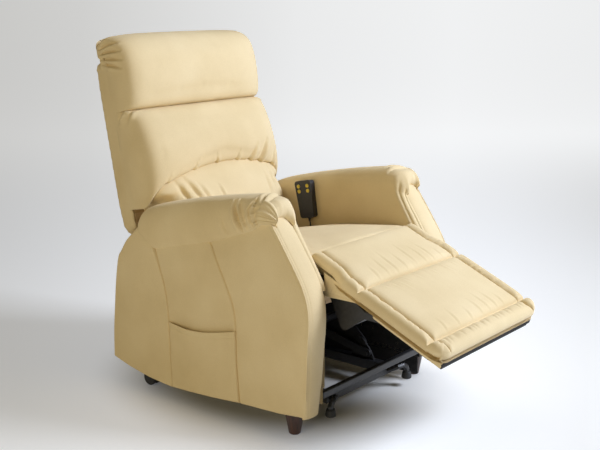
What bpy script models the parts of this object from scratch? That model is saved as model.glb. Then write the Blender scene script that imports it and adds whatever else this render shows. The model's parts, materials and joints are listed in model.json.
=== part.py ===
"""Riser recliner: a powered armchair whose legrest swings out, whose back reclines and whose base lifts it.

Metres, +Z up, front towards -Y, sitter's right towards -X. The pieces are drawn from a datum under the
middle of the arm boxes; the origin empty then moves them so that Z = 0 is the floor and the middle of
the footprint, legrest out, lies at X = Y = 0.
"""

import math

import bmesh
import bpy
from mathutils import Matrix, Vector

# Overall driving dimensions
CHAIR_WIDTH = 0.720
FOOTPRINT_MIDDLE = -0.172  # Y of the footprint's middle, from the arm box datum
TOUCH = 0.0003  # gap between faces that touch
SIDES = (("right", -1), ("left", 1))

# Arm boxes
ARM_INNER = 0.252
ARM_OUTER = CHAIR_WIDTH / 2 - 0.001  # the pads stand proud of the panels
PANEL_BOTTOM = 0.076
PANEL_EDGE = 0.007
BAND_THICKNESS = 0.014
BAND_EDGE = 0.006
ARM_FRONT = ((-0.431, PANEL_BOTTOM), (-0.438, 0.258), (-0.442, 0.379), (-0.422, 0.453), (-0.366, 0.541),
             (-0.303, 0.629))
ARM_REAR = ((0.328, 0.446), (0.351, 0.370), (0.363, 0.275), (0.376, 0.171), (0.381, PANEL_BOTTOM))
# Bowed lower edge of the outer cover: Y, drop below the panel's bottom
SKIRT_BOW = ((-0.405, -0.004), (-0.336, 0.004), (-0.221, 0.011), (-0.058, 0.025), (0.107, 0.036), (0.208, 0.027),
             (0.300, 0.012), (0.370, -0.004))
SKIRT_THICKNESS = 0.008
SKIRT_LAP = 0.014  # how far the bowed edge runs up inside the panel
# Stations along the arm, front to rear: Y, height of the pad's lower seam, height of its top
ARM_STATIONS = ((-0.303, 0.629, 0.676), (-0.261, 0.601, 0.682), (-0.202, 0.575, 0.676), (-0.066, 0.532, 0.654),
                (0.073, 0.498, 0.626), (0.197, 0.467, 0.594), (0.285, 0.452, 0.553))
PAD_NOSE = 0.020  # how far the pad reaches in front of its first station
PAD_CROWN = 0.016
PAD_BULGE = 0.004

# Side pocket, in the right panel
POCKET_FRONT = -0.165
POCKET_REAR = 0.105
POCKET_LOW = 0.125
POCKET_MOUTH = 0.252
POCKET_HEADROOM = 0.024
POCKET_DEPTH = 0.016
POCKET_PANEL = 0.005

# Feet and castors
FOOT_X = ARM_OUTER - 0.051
FOOT_Y = -0.347
FOOT_TOP_RADIUS = 0.0275
FOOT_TOE_RADIUS = 0.0175
CASTOR_X = ARM_OUTER - 0.052
CASTOR_Y = 0.235
CASTOR_TRAIL = 0.018
WHEEL_RADIUS = 0.025
WHEEL_WIDTH = 0.011
FORK_THICKNESS = 0.008
AXLE_RADIUS = 0.004
STEM_RADIUS = 0.0055

# Lift base
BASE_BAR = 0.030
BASE_TOP = 0.077
BASE_FRONT = -0.355
BASE_REAR = 0.215
BASE_HALF = 0.170
CUP_X = BASE_HALF + 0.028
CUP_FRONT_Y = -0.392
CUP_RADIUS = 0.016
CUP_BOTTOM = 0.027
CUP_HEIGHT = 0.023
FOOT_ARM_RADIUS = 0.009

# Lift linkage: (Y, Z) of its pivots
LIFT_BASE = (-0.240, 0.125)
LIFT_SEAT = (0.120, 0.220)
GUIDE_BASE = (-0.271, 0.0972)
GUIDE_SEAT = (-0.010, 0.150)
LIFT_TURN = 55.0
LIFT_CRANK = 0.120
LIFT_DRIVE_RISE = 20.0  # degrees from level
LIFT_TAIL_Y = 0.160
STEEL = 0.005  # plate thickness of the mechanism
EAR_X = BASE_HALF - BASE_BAR / 2 - 0.002  # inner face of the pivot ears and of the hanging lift plates
LINK_RADIUS = 0.018
GUIDE_RADIUS = 0.0135
LINK_GAP = 0.0025
PIN_RADIUS = 0.006
PIN_FIT = 0.0003
GUIDE_FIT = 0.0007  # play at the guide arm's upper pin

# Seat chassis
TUBE_RADIUS = 0.0125
FRONT_TUBE = (-0.030, 0.262)
REAR_TUBE = (0.140, 0.255)
STRETCHER = (0.016, 0.022)
STRETCHER_Y = -0.400
STRETCHER_Z = 0.111
SEAT_SLOPE = 0.1317
SEAT_REAR = 0.075
SEAT_CROWN = 0.036
RAIL_INNER = 0.190
RAIL_OUTER = 0.222
RAIL_DEPTH = 0.030
CROSS_RAIL = 0.0297
FRONT_RAIL_Y = -0.297
REAR_RAIL_Y = 0.130
REAR_RAIL_DEPTH = 0.0195
REAR_RAIL_DROP = 0.013
SPRING_DROP = 0.009
SPRING_RADIUS = 0.002
SPRING_SWING = 0.019
SPRING_PITCH = 0.036
SPRING_X = (-0.166, 0.0, 0.166)

# Legrest
LEG_HINGE = (-0.420, 0.449)
LEG_DROP = 23.5  # degrees below level in the rest pose
LEG_RANGE = (-58.0, 25.0)
NOSE_RADIUS = 0.064  # rounded seat front, centred on the legrest hinge
LEG_START = 0.069  # hollow rear end of the pad, centred on the same hinge
LEG_LENGTH = 0.414
LEG_SIDE_GAP = 0.0035
LEG_HALF = ARM_INNER - LEG_SIDE_GAP
LEG_TOP = 0.061
LEG_UNDER = 0.011
LEG_SEAM = 0.108
LEG_ROLL = 0.046
LEG_PANEL_DROP = 0.010
BOARD_START = 0.165
BOARD_END = 0.405
BOARD_THICKNESS = 0.020
LINING = 0.004
LEG_CRANK = 0.125
LEG_DRIVE_RISE = 9.5
LEG_ARM_RADIUS = 0.0098
HINGE_PIN = 0.007
HINGE_EYE = 0.016
SWING_GAP = 0.0027
PLATE_X = ARM_INNER - TOUCH - STEEL  # inner face of the side plates
SWING_X = PLATE_X - SWING_GAP - STEEL  # inner face of the plates that swing on the side plates' pins
SEAT_HALF = SWING_X - 0.003

# Back
BACK_HINGE = (0.235, 0.410)
BACK_RANGE = (-8.0, 27.0)
BACK_LEAN = 11.0
BACK_POINT = (0.331, 0.550)  # (Y, Z) on the front plane of the tray
TRAY_DEPTH = 0.052
TRAY_WALL = 0.012
TRAY_UPPER_HALF = 0.298
TRAY_LOWER_HALF = SWING_X - TOUCH
TRAY_FOOT = -0.220
TRAY_SHOULDER = -0.060
TRAY_HEAD = 0.488
TRAY_CORNER = 0.035
FRAME_THICKNESS = TRAY_DEPTH - TRAY_WALL - 2 * TOUCH
FRAME_RAIL = 0.055
BACK_CRANK = 0.105
ARCH_TOP = 0.119
ARCH_DROP = 0.072
PILLOW_SEAM = 0.3225
HEAD_TOP = 0.566
HEAD_WRAP = 0.037  # how far the headrest reaches back over the tray's top edge
LUMBAR_FOOT = -0.130
LUMBAR_HALF = SWING_X - 0.0025

# Linear drives
DRIVE_TUBE = 0.020
ROD_RADIUS = 0.010
ROD_FIT = 0.0005
GEARBOX_HALF = 0.026
MOTOR_RADIUS = 0.021
MOTOR_OFFSET = 0.047
YOKE_HALF = 0.009
YOKE_WALL = 0.008
SIDE_DRIVE_X = 0.075

# Handset, on the inner face of the left arm
HANDSET_MIDDLE = (0.0563, 0.5493)
HANDSET_LEAN = 11.0
HANDSET_HEIGHT = 0.128
HANDSET_TOP = 0.070
HANDSET_FOOT = 0.060
HANDSET_THICKNESS = 0.022
KEY_RADIUS = 0.0065
KEY_FIT = 0.0006
KEY_TRAVEL = 0.0015
KEY_COLUMN = 0.019
KEY_ROWS = (0.046, 0.029)
BOSS_LENGTH = 0.012
CORD_RADIUS = 0.0025
COIL_TURNS = 5
COIL_RADIUS = 0.0275
COIL_PITCH = 0.0056
COIL_MIDDLE = (0.215, 0.200)  # (X, Z)
COIL_START = 0.046

# Control box
BOX_LOW = (0.214, 0.106, 0.146)
BOX_HIGH = (ARM_INNER - TOUCH, 0.196, 0.204)

FINISHES = {
    "cream_fabric": ((0.72, 0.58, 0.36), 0.85, 0.0),
    "black_lining": ((0.02, 0.02, 0.022), 0.9, 0.0),
    "black_steel": ((0.025, 0.025, 0.028), 0.45, 0.6),
    "bright_steel": ((0.55, 0.55, 0.56), 0.3, 1.0),
    "stained_wood": ((0.16, 0.055, 0.03), 0.4, 0.0),
    "frame_wood": ((0.55, 0.40, 0.24), 0.7, 0.0),
    "black_plastic": ((0.03, 0.03, 0.032), 0.5, 0.0),
    "yellow_key": ((0.75, 0.60, 0.08), 0.45, 0.0),
    "black_rubber": ((0.02, 0.02, 0.02), 0.8, 0.0),
}

for item in list(bpy.data.objects):
    bpy.data.objects.remove(item, do_unlink=True)

PARTS = bpy.data.collections.new("riser_recliner")
bpy.context.scene.collection.children.link(PARTS)

# Frames: each maps its own (a, b, c) to the chair's X, Y and Z
SIDE_VIEW = Matrix(((0, 0, 1, 0), (1, 0, 0, 0), (0, 1, 0, 0), (0, 0, 0, 1)))


def sloped_frame(x, point, a, b, c):
    """A frame at (x, point) whose axes are the given vectors."""
    frame = Matrix.Identity(4)
    for column, axis in enumerate((a, b, c)):
        frame.col[column] = (*axis, 0)
    frame.col[3] = (x, *point, 1)
    return frame


def back_frame_axes():
    lean = math.radians(BACK_LEAN)
    up = (0, math.sin(lean), math.cos(lean))
    forward = (0, -math.cos(lean), math.sin(lean))
    return sloped_frame(0, BACK_POINT, (1, 0, 0), up, forward)


def leg_frame_axes():
    drop = math.radians(LEG_DROP)
    along = (0, -math.cos(drop), -math.sin(drop))
    above = (0, -math.sin(drop), math.cos(drop))
    return sloped_frame(0, LEG_HINGE, (1, 0, 0), along, above)


def drive_frame(x, tail, direction, rise):
    """Drive axes: X across, then along the rod towards `direction` (+1 rear, -1 front), then upwards."""
    angle = math.radians(rise)
    along = (0, direction * math.cos(angle), math.sin(angle))
    above = (0, -direction * math.sin(angle), math.cos(angle))
    return sloped_frame(x, tail, (1, 0, 0), along, above)


def handset_axes():
    lean = math.radians(HANDSET_LEAN)
    towards_front = (0, -math.cos(lean), math.sin(lean))
    up = (0, math.sin(lean), math.cos(lean))
    back_x = ARM_INNER - TOUCH
    return sloped_frame(back_x, HANDSET_MIDDLE, towards_front, up, (-1, 0, 0))


BACK = back_frame_axes()
LEG = leg_frame_axes()
HANDSET = handset_axes()


# General modelling helpers
def finish_material(name):
    made = bpy.data.materials.get(name)
    if made is None:
        colour, roughness, metallic = FINISHES[name]
        made = bpy.data.materials.new(name)
        made.use_nodes = True
        shader = made.node_tree.nodes["Principled BSDF"]
        shader.inputs["Base Color"].default_value = (*colour, 1)
        shader.inputs["Roughness"].default_value = roughness
        shader.inputs["Metallic"].default_value = metallic
    return made


def keep(name, mesh, finish):
    mesh.materials.clear()
    mesh.materials.append(finish_material(finish))
    made = bpy.data.objects.new(name, mesh)
    PARTS.objects.link(made)
    return made


def from_bmesh(name, bm, finish, frame=None):
    if frame is not None:
        bmesh.ops.transform(bm, matrix=frame, verts=bm.verts[:])
    bmesh.ops.recalc_face_normals(bm, faces=bm.faces[:])
    if bm.calc_volume(signed=True) < 0:
        bmesh.ops.reverse_faces(bm, faces=bm.faces[:])
    mesh = bpy.data.meshes.new(name)
    bm.to_mesh(mesh)
    bm.free()
    return keep(name, mesh, finish)


def evaluated_mesh(made):
    bpy.context.view_layer.update()
    graph = bpy.context.evaluated_depsgraph_get()
    return bpy.data.meshes.new_from_object(made.evaluated_get(graph))


def from_curve(name, curve, finish, frame=None):
    """The solid of a curve, with its loose caps welded on."""
    source = bpy.data.objects.new(name + "_curve", curve)
    PARTS.objects.link(source)
    bm = bmesh.new()
    bm.from_mesh(evaluated_mesh(source))
    bpy.data.objects.remove(source, do_unlink=True)
    bmesh.ops.remove_doubles(bm, verts=bm.verts[:], dist=1e-6)
    return from_bmesh(name, bm, finish, frame)


def apply_modifiers(made):
    mesh = evaluated_mesh(made)
    made.modifiers.clear()
    made.data = mesh
    return made


def combine(target, tools, operation="UNION"):
    for tool in tools:
        step = target.modifiers.new(operation.lower(), "BOOLEAN")
        step.operation = operation
        step.solver = "EXACT"
        step.object = tool
        tool.hide_render = True
    apply_modifiers(target)
    for tool in tools:
        bpy.data.objects.remove(tool, do_unlink=True)
    return target


def soften(made, width, segments=2, angle=50):
    step = made.modifiers.new("rounded_edges", "BEVEL")
    step.width = width
    step.segments = segments
    step.limit_method = "ANGLE"
    step.angle_limit = math.radians(angle)
    return apply_modifiers(made)


def block(name, low, high, finish, frame=None, edge=0.0):
    bm = bmesh.new()
    bmesh.ops.create_cube(bm, size=1.0)
    low, high = Vector(low), Vector(high)
    bmesh.ops.scale(bm, vec=high - low, verts=bm.verts[:])
    bmesh.ops.translate(bm, vec=(low + high) / 2, verts=bm.verts[:])
    made = from_bmesh(name, bm, finish, frame)
    return soften(made, edge) if edge else made


def rod(name, start, end, radius, finish, frame=None, sides=16, end_radius=None):
    start, end = Vector(start), Vector(end)
    along = end - start
    bm = bmesh.new()
    bmesh.ops.create_cone(bm, cap_ends=True, segments=sides, radius1=radius, depth=along.length,
                          radius2=radius if end_radius is None else end_radius)
    turn = Vector((0, 0, 1)).rotation_difference(along).to_matrix().to_4x4()
    bmesh.ops.transform(bm, matrix=Matrix.Translation((start + end) / 2) @ turn, verts=bm.verts[:])
    return from_bmesh(name, bm, finish, frame)


def plate(name, outline, low, high, finish, frame=SIDE_VIEW, holes=(), edge=0.0):
    """A flat outline, in the frame's first two axes, thickened from low to high along its third."""
    curve = bpy.data.curves.new(name, "CURVE")
    curve.dimensions = "2D"
    curve.fill_mode = "BOTH"
    curve.extrude = abs(high - low) / 2
    for ring in (outline, *holes):
        spline = curve.splines.new("POLY")
        spline.points.add(len(ring) - 1)
        for point, (a, b) in zip(spline.points, ring):
            point.co = (a, b, 0, 1)
        spline.use_cyclic_u = True
    made = from_curve(name, curve, finish, frame @ Matrix.Translation((0, 0, (low + high) / 2)))
    return soften(made, edge) if edge else made


def turned(name, profile, centre, finish, steps=20):
    """A turned piece: (radius, height) points from top to bottom, about a vertical axis."""
    bm = bmesh.new()
    points = [bm.verts.new((radius, 0, height)) for radius, height in profile]
    for first, second in zip(points, points[1:]):
        bm.edges.new((first, second))
    mesh = bpy.data.meshes.new(name)
    bm.to_mesh(mesh)
    bm.free()
    made = keep(name, mesh, finish)
    step = made.modifiers.new("turned", "SCREW")
    step.steps = steps
    step.render_steps = steps
    step.use_merge_vertices = True
    step.merge_threshold = 0.00001
    apply_modifiers(made)
    made.data.transform(Matrix.Translation(centre))
    return made


def tube(name, points, radius, finish, resolution=2, frame=None):
    curve = bpy.data.curves.new(name, "CURVE")
    curve.dimensions = "3D"
    curve.bevel_depth = radius
    curve.bevel_resolution = resolution
    curve.use_fill_caps = True
    spline = curve.splines.new("POLY")
    spline.points.add(len(points) - 1)
    for place, point in zip(spline.points, points):
        place.co = (*point, 1)
    return from_curve(name, curve, finish, frame)


def circle(centre, radius, count=16):
    angles = [2 * math.pi * i / count for i in range(count)]
    return [(centre[0] + radius * math.cos(a), centre[1] + radius * math.sin(a)) for a in angles]


def around(*discs):
    """The tight outline round some discs, each (centre, radius): a link, or a plate with round corners."""
    points = sorted({(round(a, 7), round(b, 7)) for centre, radius in discs for a, b in circle(centre, radius)})

    def chain(run):
        kept = []
        for p in run:
            while len(kept) > 1 and ((kept[-1][0] - kept[-2][0]) * (p[1] - kept[-2][1])
                                     <= (kept[-1][1] - kept[-2][1]) * (p[0] - kept[-2][0]) + 1e-10):
                kept.pop()
            kept.append(p)
        return kept[:-1]

    return chain(points) + chain(points[::-1])


def smooth_line(points, steps=3):
    """A smooth line through the given points."""
    ends = [points[0], *points, points[-1]]
    line = []
    for p0, p1, p2, p3 in zip(ends, ends[1:], ends[2:], ends[3:]):
        for i in range(steps):
            t = i / steps
            line.append(tuple(0.5 * (2 * b + (c - a) * t + (2 * a - 5 * b + 4 * c - d) * t ** 2
                                     + (3 * b - a - 3 * c + d) * t ** 3)
                              for a, b, c, d in zip(p0, p1, p2, p3)))
    return line + [tuple(points[-1])]


def inset_line(line, distance):
    """The line moved to its right-hand side by a distance."""
    moved = []
    for i, (a, b) in enumerate(line):
        before, after = line[max(i - 1, 0)], line[min(i + 1, len(line) - 1)]
        run = math.hypot(after[0] - before[0], after[1] - before[1])
        moved.append((a + distance * (after[1] - before[1]) / run, b - distance * (after[0] - before[0]) / run))
    return moved


def soft_block(name, stations, shape, finish, frame=None, levels=1):
    """A padded form: a cube cut at stations along each axis, bent by a rule, then subdivided."""
    bm = bmesh.new()
    bmesh.ops.create_cube(bm, size=2.0)
    for axis, cuts in enumerate(stations):
        normal = Vector((0, 0, 0))
        normal[axis] = 1
        for cut in cuts:
            everything = bm.verts[:] + bm.edges[:] + bm.faces[:]
            bmesh.ops.bisect_plane(bm, geom=everything, plane_co=normal * cut, plane_no=normal)
    for vert in bm.verts:
        vert.co = shape(*vert.co)
    made = from_bmesh(name, bm, finish, frame)
    step = made.modifiers.new("padding", "SUBSURF")
    step.levels = levels
    step.render_levels = levels
    return made


def turned_about(point, centre, degrees):
    """A (Y, Z) point turned about a centre, seen from +X, anticlockwise."""
    angle = math.radians(degrees)
    y, z = point[0] - centre[0], point[1] - centre[1]
    return (centre[0] + y * math.cos(angle) - z * math.sin(angle),
            centre[1] + y * math.sin(angle) + z * math.cos(angle))


def between(table, y, column):
    """Straight-line value of a column of stations at y."""
    for first, second in zip(table, table[1:]):
        if y <= second[0] or second is table[-1]:
            share = (y - first[0]) / (second[0] - first[0])
            return first[column] + share * (second[column] - first[column])


def mirrored(side, low, high):
    """A span of X on one side of the chair, in rising order."""
    return (low, high) if side > 0 else (-high, -low)


# Where the drives act: crank pins at rest
LIFT_PIN = turned_about((LIFT_BASE[0], LIFT_BASE[1] + LIFT_CRANK), LIFT_BASE, -LIFT_DRIVE_RISE - LIFT_TURN / 2)
LEG_PIN = turned_about((LEG_HINGE[0], LEG_HINGE[1] - LEG_CRANK), LEG_HINGE,
                       -LEG_DRIVE_RISE + sum(LEG_RANGE) / 2)
BACK_PIN = turned_about((BACK_HINGE[0], BACK_HINGE[1] - BACK_CRANK), BACK_HINGE, sum(BACK_RANGE) / 2)
LEG_SWEEP = LEG_CRANK * (1 - math.cos(math.radians(LEG_RANGE[1] - LEG_RANGE[0]) / 2))
BACK_SWEEP = BACK_CRANK * (1 - math.cos(math.radians(BACK_RANGE[1] - BACK_RANGE[0]) / 2))
LIFT_SWEEP = LIFT_CRANK * (1 - math.cos(math.radians(LIFT_TURN) / 2))


# Lift base
def pivot_pin(name, point, side, low, high, radius=PIN_RADIUS):
    x0, x1 = mirrored(side, low, high)
    return rod(name, (x0, *point), (x1, *point), radius, "black_steel", sides=12)


LINK_X = EAR_X + STEEL + LINK_GAP
GUIDE_X = EAR_X - LINK_GAP - STEEL


def base_frame():
    low = BASE_TOP - BASE_BAR
    ear_foot = BASE_TOP - 0.015
    frame = block("base_frame", (-BASE_HALF, BASE_FRONT, low), (BASE_HALF, BASE_FRONT + BASE_BAR, BASE_TOP),
                  "black_steel")
    tools = [block("rear_bar", (-BASE_HALF, BASE_REAR - BASE_BAR, low), (BASE_HALF, BASE_REAR, BASE_TOP),
                   "black_steel")]
    for word, side in SIDES:
        x0, x1 = mirrored(side, BASE_HALF - BASE_BAR, BASE_HALF)
        tools.append(block("rail", (x0, BASE_FRONT + 0.01, low), (x1, BASE_REAR - 0.01, BASE_TOP), "black_steel"))
        outline = around((LIFT_BASE, LINK_RADIUS), (GUIDE_BASE, GUIDE_RADIUS), ((GUIDE_BASE[0] - 0.02, ear_foot), 0.01),
                         ((LIFT_BASE[0] + 0.03, ear_foot), 0.01))
        tools.append(plate("ear", outline, *mirrored(side, EAR_X, EAR_X + STEEL), "black_steel"))
        tools.append(pivot_pin("lift_pin", LIFT_BASE, side, EAR_X + 0.001, LINK_X + STEEL + 0.004))
        tools.append(pivot_pin("guide_pin", GUIDE_BASE, side, GUIDE_X - 0.004, EAR_X + STEEL - 0.001))
    tail = lift_tail()
    for word, side in SIDES:
        outline = around((tail, 0.013), ((BASE_REAR - BASE_BAR + 0.008, BASE_TOP - 0.013), 0.012))
        tools.append(plate("clevis", outline, *mirrored(side, TAIL_HALF + TOUCH, TAIL_HALF + TOUCH + STEEL),
                           "black_steel"))
    tools.append(rod("tail_pin", (-TAIL_HALF - STEEL, *tail), (TAIL_HALF + STEEL, *tail), PIN_RADIUS - 0.001,
                     "black_steel", sides=12))
    return combine(frame, tools)


def lift_tail():
    rise = math.tan(math.radians(LIFT_DRIVE_RISE))
    return (LIFT_TAIL_Y, LIFT_PIN[1] - (LIFT_TAIL_Y - LIFT_PIN[0]) * rise)


TAIL_HALF = 0.018


def base_front_arm(word, side):
    bar_z = BASE_TOP - BASE_BAR / 2
    cup_top = CUP_BOTTOM + CUP_HEIGHT + TOUCH
    start_x = BASE_HALF - 0.020
    route = ((start_x, BASE_FRONT - TOUCH, bar_z), (start_x, BASE_FRONT - 0.006, bar_z),
             (start_x + 0.003, BASE_FRONT - 0.015, bar_z + 0.004),
             (start_x + 0.012, BASE_FRONT - 0.027, bar_z + 0.010),
             (CUP_X - 0.018, CUP_FRONT_Y + 0.003, bar_z + 0.012),
             (CUP_X - 0.006, CUP_FRONT_Y, bar_z + 0.006), (CUP_X, CUP_FRONT_Y, cup_top + 0.006),
             (CUP_X, CUP_FRONT_Y, cup_top))
    points = [(side * x, y, z) for x, y, z in route]
    return tube("base_front_arm_" + word, points, FOOT_ARM_RADIUS, "black_steel")


def base_cup(name, x, y, top):
    profile = ((0, top), (CUP_RADIUS * 0.72, top), (CUP_RADIUS * 0.86, top - 0.004), (CUP_RADIUS, CUP_BOTTOM + 0.006),
               (CUP_RADIUS, CUP_BOTTOM + 0.002), (CUP_RADIUS - 0.002, CUP_BOTTOM), (0, CUP_BOTTOM))
    return turned(name, profile, (x, y, 0), "black_rubber")


# Lift linkage
def lift_arm(word, side):
    outline = around((LIFT_BASE, LINK_RADIUS), (LIFT_SEAT, LINK_RADIUS), (LIFT_PIN, LINK_RADIUS))
    holes = [circle(LIFT_BASE, PIN_RADIUS + PIN_FIT, 12), circle(LIFT_SEAT, PIN_RADIUS + PIN_FIT, 12)]
    middle = tuple(sum(p[i] for p in (LIFT_BASE, LIFT_SEAT, LIFT_PIN)) / 3 for i in (0, 1))
    holes.append(circle(middle, LINK_RADIUS * 0.6))
    return plate("lift_arm_" + word, outline, *mirrored(side, LINK_X, LINK_X + STEEL), "black_steel", holes=holes)


def lift_cross_tube():
    reach = LINK_X - TOUCH
    return rod("lift_cross_tube", (-reach, *LIFT_PIN), (reach, *LIFT_PIN), TUBE_RADIUS, "black_steel")


def guide_arm(word, side):
    outline = around((GUIDE_BASE, GUIDE_RADIUS), (GUIDE_SEAT, GUIDE_RADIUS))
    holes = [circle(GUIDE_BASE, PIN_RADIUS + PIN_FIT, 12), circle(GUIDE_SEAT, PIN_RADIUS + GUIDE_FIT, 12)]
    return plate("guide_arm_" + word, outline, *mirrored(side, GUIDE_X, GUIDE_X + STEEL), "black_steel", holes=holes)


# Seat chassis
def chassis_frame():
    reach = PLATE_X - TOUCH
    frame = rod("chassis_frame", (-reach, *FRONT_TUBE), (reach, *FRONT_TUBE), TUBE_RADIUS, "black_steel")
    tools = [rod("rear_tube", (-reach, *REAR_TUBE), (reach, *REAR_TUBE), TUBE_RADIUS, "black_steel")]
    for word, side in SIDES:
        outline = around((FRONT_TUBE, 0.020), (REAR_TUBE, 0.020), (LIFT_SEAT, LINK_RADIUS), (GUIDE_SEAT, GUIDE_RADIUS))
        tools.append(plate("lift_plate", outline, *mirrored(side, EAR_X, EAR_X + STEEL), "black_steel"))
        tools.append(pivot_pin("lift_pin", LIFT_SEAT, side, EAR_X + 0.001, LINK_X + STEEL + 0.004))
        tools.append(pivot_pin("guide_pin", GUIDE_SEAT, side, GUIDE_X - 0.004, EAR_X + STEEL - 0.001))
    return combine(frame, tools)


def side_plate(word, side):
    outline = around((LEG_HINGE, 0.020), (FRONT_TUBE, 0.024), (REAR_TUBE, 0.024), (BACK_HINGE, 0.020))
    holes = [circle((-0.235, 0.395), 0.024), circle((-0.120, 0.365), 0.030), (circle((0.050, 0.345), 0.034))]
    made = plate("side_plate_" + word, outline, *mirrored(side, PLATE_X, PLATE_X + STEEL), "black_steel", holes=holes)
    pins = [pivot_pin("hinge_pin", point, side, SWING_X - 0.0015, PLATE_X + 0.001, HINGE_PIN)
            for point in (LEG_HINGE, BACK_HINGE)]
    return combine(made, pins)


def front_stretcher():
    half = ARM_INNER - TOUCH
    depth, height = STRETCHER
    return block("front_stretcher", (-half, STRETCHER_Y - depth / 2, STRETCHER_Z - height / 2),
                 (half, STRETCHER_Y + depth / 2, STRETCHER_Z + height / 2), "black_steel", edge=0.003)


# Arm boxes
FRONT_LINE = smooth_line(ARM_FRONT)
SEAM_LINE = [(y, seam) for y, seam, top in ARM_STATIONS]


def side_panel(word, side):
    front = inset_line(FRONT_LINE, BAND_THICKNESS + TOUCH)
    outline = front[:-1] + SEAM_LINE[1:] + smooth_line(ARM_REAR)
    made = plate("side_panel_" + word, outline, *mirrored(side, ARM_INNER, ARM_OUTER), "cream_fabric", edge=PANEL_EDGE)
    bow = smooth_line([(y, PANEL_BOTTOM - drop) for y, drop in SKIRT_BOW])
    bow += [(SKIRT_BOW[-1][0], PANEL_BOTTOM + SKIRT_LAP), (SKIRT_BOW[0][0], PANEL_BOTTOM + SKIRT_LAP)]
    edges = mirrored(side, ARM_OUTER - SKIRT_THICKNESS, ARM_OUTER - TOUCH)
    combine(made, [plate("skirt", bow, *edges, "cream_fabric", edge=SKIRT_THICKNESS / 4)])
    if side < 0:
        recess = block("recess", (-ARM_OUTER - 0.01, POCKET_FRONT, POCKET_LOW),
                       (-ARM_OUTER + POCKET_DEPTH, POCKET_REAR, POCKET_MOUTH + POCKET_HEADROOM), "cream_fabric")
        combine(made, [recess], "DIFFERENCE")
    return made


def pocket_panel():
    return block("pocket_panel_right", (-ARM_OUTER, POCKET_FRONT + TOUCH, POCKET_LOW + TOUCH),
                 (-ARM_OUTER + POCKET_PANEL, POCKET_REAR - TOUCH, POCKET_MOUTH), "cream_fabric")


def front_band(word, side):
    outline = FRONT_LINE + inset_line(FRONT_LINE, BAND_THICKNESS)[::-1]
    return plate("front_band_" + word, outline, *mirrored(side, ARM_INNER, ARM_OUTER), "cream_fabric", edge=BAND_EDGE)


def arm_pad(word, side):
    stations = ARM_STATIONS
    first, last = stations[0][0], stations[-1][0]
    middle = (ARM_INNER + TOUCH + CHAIR_WIDTH / 2) / 2
    half = (CHAIR_WIDTH / 2 - ARM_INNER - TOUCH) / 2

    def shape(u, v, w):
        y = first + (last - first) * (v + 1) / 2
        seam, top = between(stations, y, 1), between(stations, y, 2)
        z = seam + TOUCH if w < 0 else seam + TOUCH + (top - seam) * (0.55 + 0.45 * w)
        z += PAD_CROWN * (0.4 - u * u) * (1 if w > 0 else 0)
        nose = PAD_NOSE * (1 - 0.4 * abs(w)) if v < -0.99 and w > -0.5 else 0
        return (side * (middle + u * half * (1 - 0.03 * (1 - v * v))), y - nose, z)

    cuts = [2 * (y - first) / (last - first) - 1 for y, seam, top in stations[1:-1]]
    return soft_block("arm_pad_" + word, ((-0.8, 0, 0.8), (-0.97, *cuts, 0.93), (0,)), shape, "cream_fabric")


def wood_foot(word, side):
    top = PANEL_BOTTOM - TOUCH
    profile = ((0, top), (FOOT_TOP_RADIUS, top), (FOOT_TOP_RADIUS + 0.001, top - 0.012),
               (FOOT_TOP_RADIUS - 0.004, top - 0.040), (FOOT_TOE_RADIUS, 0.003), (FOOT_TOE_RADIUS - 0.003, 0.0), (0, 0.0))
    return turned("wood_foot_" + word, profile, (side * FOOT_X, FOOT_Y, 0), "stained_wood")


def castor_fork(word, side):
    x = side * CASTOR_X
    wheel = (CASTOR_Y + CASTOR_TRAIL, WHEEL_RADIUS)
    outline = around((wheel, 0.010), ((CASTOR_Y, WHEEL_RADIUS + 0.028), 0.013), ((wheel[0], WHEEL_RADIUS + 0.022), 0.012))
    made = plate("castor_fork_" + word, outline, x - FORK_THICKNESS / 2, x + FORK_THICKNESS / 2, "black_plastic",
                 holes=[circle(wheel, AXLE_RADIUS + PIN_FIT, 12)])
    cap = rod("cap", (x, CASTOR_Y, WHEEL_RADIUS + 0.030), (x, CASTOR_Y, WHEEL_RADIUS + 0.042), 0.017, "black_plastic")
    stem = rod("stem", (x, CASTOR_Y, WHEEL_RADIUS + 0.036), (x, CASTOR_Y, PANEL_BOTTOM - TOUCH), STEM_RADIUS,
               "black_plastic")
    return combine(made, [cap, stem])


def castor_wheels(word, side):
    y, x = CASTOR_Y + CASTOR_TRAIL, side * CASTOR_X
    inner = FORK_THICKNESS / 2 + 0.0015
    centre = (y, WHEEL_RADIUS)
    made = rod("castor_wheels_" + word, (x - inner - 0.004, *centre), (x + inner + 0.004, *centre), AXLE_RADIUS,
               "black_rubber", sides=12)
    discs = []
    for sign in (-1, 1):
        edges = sorted((x + sign * inner, x + sign * (inner + WHEEL_WIDTH)))
        disc = rod("disc", (edges[0], *centre), (edges[1], *centre), WHEEL_RADIUS, "black_rubber", sides=24)
        discs.append(soften(disc, 0.002, segments=1))
    return combine(made, discs)


# Seat
def seat_under(y):
    return LEG_HINGE[1] - NOSE_RADIUS - SEAT_SLOPE * (y - LEG_HINGE[0])


def seat_cross_rail(name, y, depth, drop):
    reach = PLATE_X - TOUCH
    top = seat_under(y + CROSS_RAIL) - drop
    return block(name, (-reach, y, top - depth), (reach, y + CROSS_RAIL, top), "frame_wood", edge=0.003)


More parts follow.
